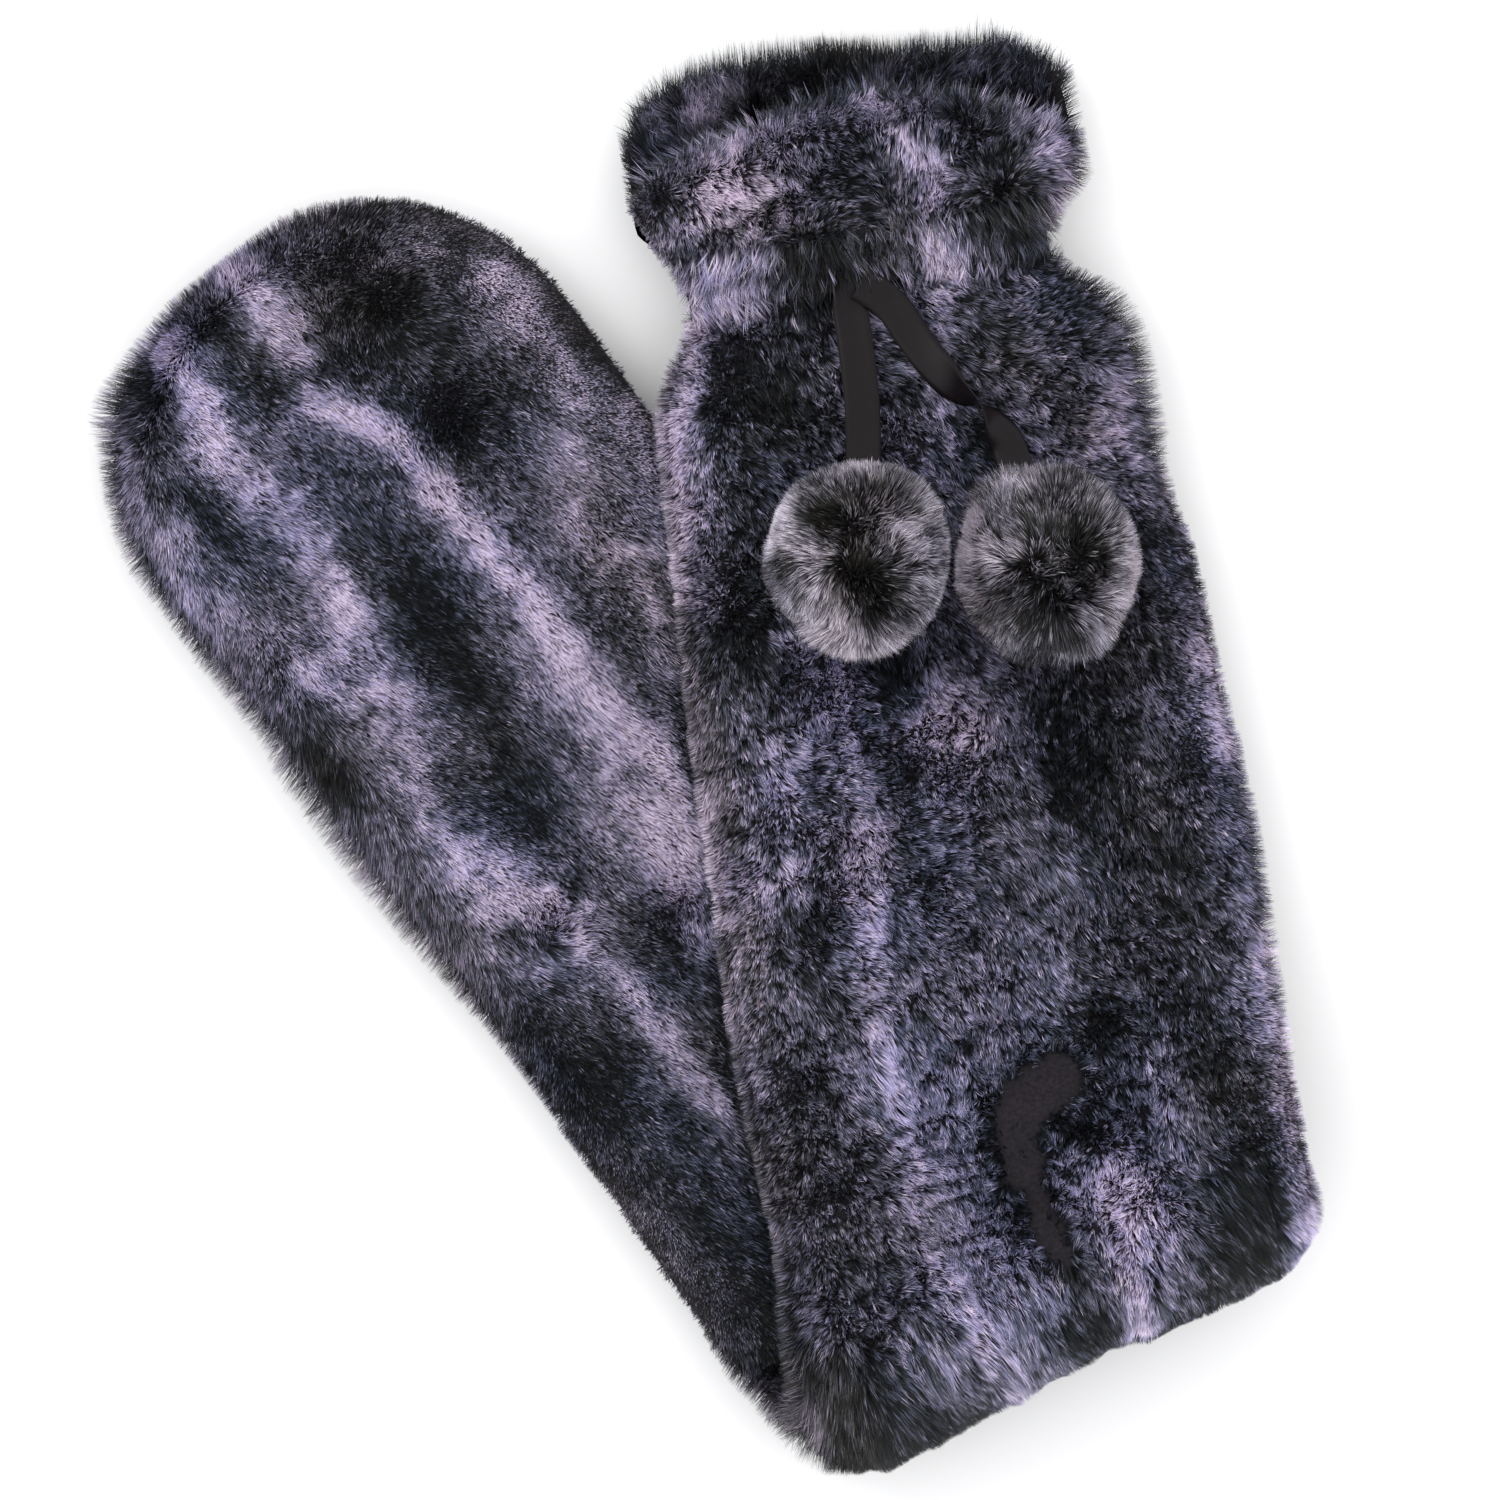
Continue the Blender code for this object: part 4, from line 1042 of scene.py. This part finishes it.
def knot(surface):
    """The small knot, as a ball pinched where the ribbon crosses over."""
    along, across = (np.array([value]) for value in KNOT_PLACE)
    centre = resting_on(surface, fold(along, across, LEAF_THICKNESS / 2), KNOT_LIFT)
    around = np.linspace(0, 2 * math.pi, KNOT_STEPS + 1)[:-1]
    u, v = np.meshgrid(around, np.linspace(0, math.pi, KNOT_ROWS))
    ball = np.stack([np.cos(u) * np.sin(v), np.sin(u) * np.sin(v), np.cos(v)], axis=-1)
    pinch = 1 - KNOT_PINCH * np.cos(3 * u + 0.6) * np.sin(v) ** 2
    points = (ball * pinch[..., None] * KNOT_SIZE).reshape(-1, 3) + centre
    grid = np.arange(KNOT_ROWS * KNOT_STEPS).reshape(KNOT_ROWS, KNOT_STEPS)
    near, far = grid[:-1], grid[1:]
    a, b, c, d = near, np.roll(near, -1, 1), np.roll(far, -1, 1), far
    triangles = [np.stack(corners, -1).reshape(-1, 3) for corners in ((a, c, b), (a, d, c))]
    return points, np.concatenate(triangles)


def make_ribbon(finish):
    """The loop, the knot and both ends, as one ribbon."""
    surface = tree_of("front_panel")
    shapes = [neck_loop(), knot(surface), *(ribbon_end(route, surface) for route in TAILS.values())]
    starts = np.cumsum([0] + [len(points) for points, _ in shapes])
    points = np.concatenate([points for points, _ in shapes])
    triangles = np.concatenate([faces + start for (_, faces), start in zip(shapes, starts)])
    return mesh_object("tied_ribbon", points, triangles, finish)


# The pompoms

POMPOM_RADIUS = 28.5
POMPOM_CORE = 23.0
POMPOM_TUFTS = 14000
POMPOM_TUFT_HAIRS = 3
POMPOM_DROOP = 0.3  # how far the hair leans out sideways, away from the top
POMPOM_WAVES, POMPOM_WAVE_LEAN = (4.0, 12.0), 0.40
POMPOM_SPREAD, POMPOM_TUFT_NOISE, POMPOM_HAIR_NOISE = 0.02, 0.15, 0.06
WHORL_LEAN = 1.4
LEAST_OUTWARD = 0.45
POMPOM_LONGEST = 15.0
LUMPY, LUMPY_SIZE = 0.16, 3.5
PRESSED_SHORT, PRESSED_SHARE = 3, 0.4  # hairs this short, where the ball is pressed flat, and those kept
POMPOM_TONE = {"pompom_left": 0.39, "pompom_right": 0.35}
POMPOM_TONE_NOISE, POMPOM_HAIR_TONE_NOISE = 0.21, 0.06
POMPOM_PATCHES, POMPOM_PATCH_SIZE = 0.08, 5.0
POMPOM_HUES, POMPOM_HUE_SIZE = 0.8, 3.0
POMPOM_HAIR_WIDTH = 0.52
MARKS = {  # paler and darker places: how far right and up of the middle in the picture, size and change
    "pompom_left": [
        (-0.82, 0.45, 0.20, 0.44), (-0.92, 0.12, 0.18, 0.40), (-0.55, 0.06, 0.16, 0.30),
        (-0.52, -0.16, 0.18, 0.40), (-0.42, -0.40, 0.18, 0.20), (-0.28, -0.70, 0.16, 0.28),
        (-0.50, -0.80, 0.22, 0.32), (-0.10, -0.98, 0.20, 0.42), (0.35, -0.98, 0.22, 0.34),
        (-0.34, 0.02, 0.10, 0.36), (-0.28, 0.18, 0.09, 0.34), (-0.05, 0.38, 0.12, 0.26),
        (0.22, 0.42, 0.12, 0.30), (0.50, 0.26, 0.14, 0.30), (0.72, 0.06, 0.18, 0.20),
        (0.85, -0.40, 0.20, 0.16), (-0.10, 0.97, 0.18, 0.14), (0.06, -0.26, 0.32, -0.46),
        (-0.40, 0.38, 0.24, -0.54), (-0.06, 0.20, 0.12, -0.20), (-0.82, -0.15, 0.14, -0.34),
        (0.05, 0.70, 0.22, -0.16), (0.50, 0.70, 0.26, -0.14), (0.22, -0.72, 0.20, -0.30),
    ],
    "pompom_right": [
        (-1.00, 0.05, 0.22, 0.60), (-0.84, 0.40, 0.26, 0.62), (-0.28, 0.40, 0.20, -0.20),
        (-0.36, 0.86, 0.18, 0.24), (-0.92, -0.30, 0.20, 0.24), (-0.60, -0.02, 0.13, 0.40),
        (-0.42, 0.14, 0.12, 0.26), (-0.22, 0.20, 0.12, 0.14), (-0.14, -0.06, 0.12, 0.26),
        (-0.52, -0.18, 0.10, 0.26), (-0.34, -0.04, 0.09, -0.20), (0.94, 0.38, 0.18, 0.26),
        (0.98, 0.00, 0.20, 0.36), (0.80, -0.40, 0.20, 0.34), (0.52, -0.58, 0.20, 0.28),
        (-0.05, -1.04, 0.22, 0.06), (-0.50, -0.62, 0.24, -0.12), (0.36, 0.32, 0.34, -0.26),
        (0.46, -0.14, 0.26, -0.24), (-0.18, -0.34, 0.22, -0.30), (-0.56, -0.36, 0.14, -0.22),
        (-0.05, -0.84, 0.30, -0.34), (0.30, -0.80, 0.16, -0.24), (0.00, 0.70, 0.22, -0.08),
    ],
}
POMPOM_WHORLS = {  # how far right and up of the middle, the reach, and the turn of the pile round it
    "pompom_left": [(0.03, -0.20, 0.55, 0.2), (-0.38, 0.42, 0.40, -0.3), (0.30, 0.66, 0.45, 0.3)],
    "pompom_right": [(-0.34, -0.03, 0.40, 0.8), (0.40, 0.30, 0.45, -0.2), (0.10, -0.62, 0.40, 0.3)],
}
POMPOM_STRETCH = {  # how much longer the hair is up and down the picture
    "pompom_left": (0.0, 0.45),
    "pompom_right": (0.4, 0.5),
}
PICTURE_RIGHT, PICTURE_UP = np.array([0.9836, -0.1805, 0.0]), np.array([0.1805, 0.9836, 0.0])


def wavy(directions, size, draw, waves=7):
    """A smooth random value from about -1 to 1 for each direction."""
    total = 0
    for _ in range(waves):
        wave = draw.normal(0, size, 3)
        total = total + np.sin(directions @ wave + draw.uniform(0, 6.28))
    return total / 2.6


def make_core(name, centre, finish):
    """The small dark ball inside a pompom."""
    bpy.ops.object.select_all(action="DESELECT")
    bpy.ops.mesh.primitive_ico_sphere_add(subdivisions=3, radius=POMPOM_CORE * MM)
    core = bpy.context.object
    core.name = f"{name}_core"
    bpy.ops.object.mode_set(mode="EDIT")
    bpy.ops.mesh.select_all(action="SELECT")
    bpy.ops.transform.translate(value=tuple(centre * MM))
    bpy.ops.object.mode_set(mode="OBJECT")
    bpy.ops.object.shade_smooth()
    core.data.materials.append(finish)
    return core


def spread_evenly(count):
    """Directions all round a ball, evenly apart."""
    step = np.arange(count) + 0.5
    rise = 1 - 2 * step / count
    around = step * math.pi * (3 - math.sqrt(5))
    level = np.sqrt(1 - rise**2)
    return np.stack([level * np.cos(around), level * np.sin(around), rise], axis=1)


def make_pompom(name, finish, core_finish, seed):
    """A ball of radial hairs on a small dark core, pressed flat where it lies on the pile."""
    draw, surface = np.random.default_rng(seed), tree_of(name)
    low, high = np.array(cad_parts[name].bound_box)[[0, 6]] / MM
    centre = np.append((low + high)[:2] / 2, high[2] - POMPOM_RADIUS)
    core = make_core(name, centre, core_finish)
    tuft = spread_evenly(POMPOM_TUFTS)
    tuft = unit(tuft + draw.normal(0, POMPOM_SPREAD, tuft.shape))
    tufts = np.repeat(np.arange(len(tuft)), POMPOM_TUFT_HAIRS)
    lean = POMPOM_DROOP * tuft * [1, 1, 0]
    for right, up, size, swirl in POMPOM_WHORLS[name]:
        whorl = right * PICTURE_RIGHT + up * PICTURE_UP + [0, 0, math.sqrt(1 - right**2 - up**2)]
        apart = np.arccos(tuft @ whorl)[:, None] / size
        away = unit(tuft - whorl * (tuft @ whorl)[:, None])
        lean += WHORL_LEAN * apart * np.exp(-(apart**2)) * (away + swirl * np.cross(tuft, away))
    for size in POMPOM_WAVES:
        lean += POMPOM_WAVE_LEAN * np.stack([wavy(tuft, size, draw) for _ in range(3)], axis=1)
    lean = lean + draw.normal(0, POMPOM_TUFT_NOISE, lean.shape)
    spread = draw.normal(0, POMPOM_SPREAD, (len(tufts), 3))
    outward = unit(tuft[tufts] + spread)
    root = centre + outward * (POMPOM_CORE - 0.5)
    aim = outward + lean[tufts] + draw.normal(0, POMPOM_HAIR_NOISE, outward.shape)
    aim = unit(aim + outward * np.maximum(LEAST_OUTWARD - (aim * outward).sum(1), 0)[:, None])
    hits = [surface.ray_cast(Vector(start * MM), Vector(way)) for start, way in zip(root, aim)]
    far = np.array([(hit[3] or 0) / MM for hit in hits])
    longer, lower = POMPOM_STRETCH[name]
    up = (tuft @ PICTURE_UP)[tufts]
    far = far * (1 + LUMPY * wavy(tuft, LUMPY_SIZE, draw)[tufts])
    far = far * (1 + np.where(up > 0, longer, lower) * up**4)
    varied = np.exp(draw.normal(0, POMPOM_HAIR_NOISE, len(tuft)))[tufts]
    varied *= np.exp(draw.normal(0, LENGTH_NOISE, len(tufts)))
    tip = root + aim * np.clip(far * varied, 1, POMPOM_LONGEST)[:, None]
    keep = (far > PRESSED_SHORT) | (draw.random(len(tufts)) < PRESSED_SHARE)
    tone = POMPOM_TONE[name] + POMPOM_PATCHES * wavy(tuft, POMPOM_PATCH_SIZE, draw)
    shown = (tip - centre).reshape(len(tuft), POMPOM_TUFT_HAIRS, 3).mean(axis=1) / POMPOM_RADIUS
    for right, up, size, change in MARKS[name]:
        apart = np.hypot(shown @ PICTURE_RIGHT - right, shown @ PICTURE_UP - up) / size
        tone += change * np.exp(-(apart**2)) * (shown[:, 2] > -0.5)
    tone = (tone + draw.normal(0, POMPOM_TONE_NOISE, len(tuft)))[tufts]
    tone += draw.normal(0, POMPOM_HAIR_TONE_NOISE, len(tufts))
    hue = np.clip(np.round(1 + POMPOM_HUES * wavy(tuft, POMPOM_HUE_SIZE, draw)), 0, HUES - 1)[tufts]
    width = POMPOM_HAIR_WIDTH * np.exp(draw.normal(0, WIDTH_NOISE, len(tufts)))
    parts = [values[keep] for values in (root, tip, outward, width, tone, hue)]
    pile = hair_pieces(f"{name}_pile", *parts, finish, draw)
    return core, pile


# Finishes

PILE_ROUGHNESS = 0.55
SHINE = 0.14


def ramp(nodes, stops):
    """A colour ramp node through these (place, colour) stops."""
    node = nodes.new("ShaderNodeValToRGB")
    elements = node.color_ramp.elements
    while len(elements) < len(stops):
        elements.new(0.5)
    for element, (place, colour) in zip(elements, stops):
        element.position = place
        element.color = (*colour, 1)
    return node


def maths(nodes, links, kind, *inputs):
    """A maths node; inputs are numbers or sockets."""
    node = nodes.new("ShaderNodeMath")
    node.operation = kind
    for socket, value in zip(node.inputs, inputs):
        if isinstance(value, (int, float)):
            socket.default_value = value
        else:
            links.new(value, socket)
    return node.outputs[0]


def blended(nodes, links, share, low, high):
    """A mix of two colours by a share from 0 to 1."""
    node = nodes.new("ShaderNodeMix")
    node.data_type = "RGBA"
    links.new(share, node.inputs["Factor"])
    links.new(low, node.inputs["A"])
    links.new(high, node.inputs["B"])
    return node.outputs["Result"]


def pile_material(name, roots, cool_tips, warm_tips, tip_from, tip_to):
    """Hair coloured by its tint map: across it the tone, and up each band of it from root to tip."""
    made, nodes, links, shader = material(name)
    chart = nodes.new("ShaderNodeUVMap")
    chart.uv_map = "OFBake"
    parts = nodes.new("ShaderNodeSeparateXYZ")
    links.new(chart.outputs[0], parts.inputs[0])
    tone, stacked = parts.outputs[0], maths(nodes, links, "MULTIPLY", parts.outputs[1], HUES)
    hue = maths(nodes, links, "FLOOR", stacked)
    warmth = maths(nodes, links, "DIVIDE", hue, HUES - 1)
    rise = maths(nodes, links, "SUBTRACT", stacked, hue)
    root, cool, warm = (ramp(nodes, stops) for stops in (roots, cool_tips, warm_tips))
    for node in (root, cool, warm):
        links.new(tone, node.inputs[0])
    tips = blended(nodes, links, warmth, cool.outputs[0], warm.outputs[0])
    up = nodes.new("ShaderNodeMapRange")
    up.interpolation_type = "SMOOTHSTEP"
    up.inputs["From Min"].default_value = tip_from
    up.inputs["From Max"].default_value = tip_to
    links.new(rise, up.inputs["Value"])
    colour = blended(nodes, links, up.outputs[0], root.outputs[0], tips)
    links.new(colour, shader.inputs["Base Color"])
    shader.inputs["Roughness"].default_value = PILE_ROUGHNESS
    shader.inputs["Specular IOR Level"].default_value = SHINE
    return made


def cloth_material(name, low, high, roughness, scale, height):
    """Cloth with a fine grain of two shades."""
    made, nodes, links, shader = material(name)
    place = nodes.new("ShaderNodeTexCoord")
    noise = nodes.new("ShaderNodeTexNoise")
    noise.inputs["Scale"].default_value = scale
    links.new(place.outputs["Object"], noise.inputs["Vector"])
    shades = ramp(nodes, [(0.3, low), (0.7, high)])
    links.new(noise.outputs[0], shades.inputs[0])
    links.new(shades.outputs[0], shader.inputs["Base Color"])
    bump = nodes.new("ShaderNodeBump")
    bump.inputs["Strength"].default_value = 0.4
    bump.inputs["Distance"].default_value = height
    links.new(noise.outputs[0], bump.inputs["Height"])
    links.new(bump.outputs[0], shader.inputs["Normal"])
    shader.inputs["Roughness"].default_value = roughness
    shader.inputs["Specular IOR Level"].default_value = SHINE
    return made


FUR_ROOTS = [
    (0.0, (0.007, 0.008, 0.0095)),
    (0.4, (0.014, 0.0155, 0.0205)),
    (0.7, (0.085, 0.077, 0.115)),
    (1.0, (0.27, 0.225, 0.33)),
]
COOL_TIPS = [
    (0.0, (0.009, 0.0105, 0.013)),
    (0.2, (0.024, 0.030, 0.039)),
    (0.45, (0.164, 0.184, 0.298)),
    (0.7, (0.560, 0.512, 0.815)),
    (1.0, (0.900, 0.800, 0.980)),
]
WARM_TIPS = [
    (0.0, (0.016, 0.0155, 0.0145)),
    (0.2, (0.035, 0.035, 0.034)),
    (0.45, (0.196, 0.186, 0.212)),
    (0.7, (0.590, 0.498, 0.655)),
    (1.0, (0.920, 0.790, 0.940)),
]
POMPOM_ROOTS = [(0.0, (0.010, 0.010, 0.009)), (1.0, (0.05, 0.046, 0.054))]
POMPOM_COOL_TIPS = [
    (0.0, (0.012, 0.012, 0.011)),
    (0.3, (0.060, 0.062, 0.072)),
    (0.7, (0.560, 0.520, 0.650)),
    (1.0, (0.950, 0.880, 1.000)),
]
POMPOM_WARM_TIPS = [
    (0.0, (0.016, 0.015, 0.011)),
    (0.3, (0.070, 0.068, 0.066)),
    (0.7, (0.570, 0.510, 0.590)),
    (1.0, (0.960, 0.860, 0.970)),
]
BACKING_COLOURS = ((0.009, 0.0075, 0.010), (0.020, 0.0165, 0.021))
SATIN_COLOURS = ((0.0050, 0.0034, 0.0046), (0.0080, 0.0054, 0.0072))
PILE_TIP, POMPOM_TIP = (0.2, 0.8), (0.25, 0.85)  # up a hair, where the colour changes from root to tip


def declare(piece, slot, *nodes):
    """Puts a piece of the cover on the root body and hides the imported parts that it stands in for."""
    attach(piece, "root")
    if nodes:
        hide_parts(*nodes)
    return piece


VIEW_CENTRE = np.array([13.9, 3.0, 40.0])  # millimetres, as is the width of what the camera sees there
VIEW_WIDTH, LENS, SENSOR_WIDTH = 444.0, 250.0, 36.0
FLOOR_COLOUR, FLOOR_ROUGHNESS = (0.88, 0.88, 0.89, 1), 0.9
SKY_STRENGTH = 1.42
LIGHTS = (  # name, place in metres, size and power
    ("key", (-0.9, 0.9, 1.5), 0.9, 7),
    ("fill", (1.1, -0.3, 1.4), 1.2, 3),
)


def studio():
    """Camera straight above as in the photograph, a pale floor and soft light."""
    scene = bpy.context.scene
    scene.view_settings.view_transform = "Standard"
    camera = bpy.data.cameras.new("camera")
    camera.lens, camera.sensor_width = LENS, SENSOR_WIDTH
    camera.clip_start, camera.clip_end = 0.1, 20.0
    seen = bpy.data.objects.new("camera", camera)
    distance = VIEW_WIDTH / SENSOR_WIDTH * LENS
    seen.location = (VIEW_CENTRE + np.array([0, 0, distance])) * MM
    seen.rotation_euler = (0, 0, math.atan2(PICTURE_RIGHT[1], PICTURE_RIGHT[0]))
    scene.collection.objects.link(seen)
    scene.camera = seen
    bpy.ops.object.select_all(action="DESELECT")
    bpy.ops.mesh.primitive_plane_add(size=8.0, location=(0, 0, -0.0005))
    floor = bpy.context.object
    floor.name = "floor"
    made, *_, shader = material("floor")
    shader.inputs["Base Color"].default_value = FLOOR_COLOUR
    shader.inputs["Roughness"].default_value = FLOOR_ROUGHNESS
    floor.data.materials.append(made)
    world = bpy.data.worlds.new("studio")
    scene.world = world
    world.use_nodes = True
    sky = world.node_tree.nodes["Background"].inputs
    sky["Color"].default_value = (1, 1, 1, 1)
    sky["Strength"].default_value = SKY_STRENGTH
    for name, place, size, power in LIGHTS:
        light = bpy.data.lights.new(name, "AREA")
        light.size, light.energy = size, power
        lamp = bpy.data.objects.new(name, light)
        lamp.location = place
        lamp.rotation_euler = (-Vector(place)).to_track_quat("-Z", "Y").to_euler()
        lamp.visible_camera = False
        scene.collection.objects.link(lamp)


def main():
    studio()
    fur = pile_material("fur_pile", FUR_ROOTS, COOL_TIPS, WARM_TIPS, *PILE_TIP)
    ball = pile_material("pompom_pile", POMPOM_ROOTS, POMPOM_COOL_TIPS, POMPOM_WARM_TIPS, *POMPOM_TIP)
    cloth = cloth_material("backing_cloth", *BACKING_COLOURS, roughness=0.85, scale=900, height=0.0004)
    satin = cloth_material("satin", *SATIN_COLOURS, roughness=0.42, scale=1800, height=0.0001)
    for is_front, node in ((True, "front_panel"), (False, "back_panel")):
        name = "front" if is_front else "back"
        pile = [declare(piece, "fur") for piece in make_pile(name, is_front, fur)]
        backing = declare(make_backing(f"{name}_backing", is_front, cloth), "fur", node)
    ribbon = declare(make_ribbon(satin), "ribbon", "ribbon")
    for name, seed in (("pompom_left", 21), ("pompom_right", 22)):
        core, pile = make_pompom(name, ball, cloth, seed)
        declare(core, "pompom", name)
        for piece in pile:
            declare(piece, "pompom")


main()
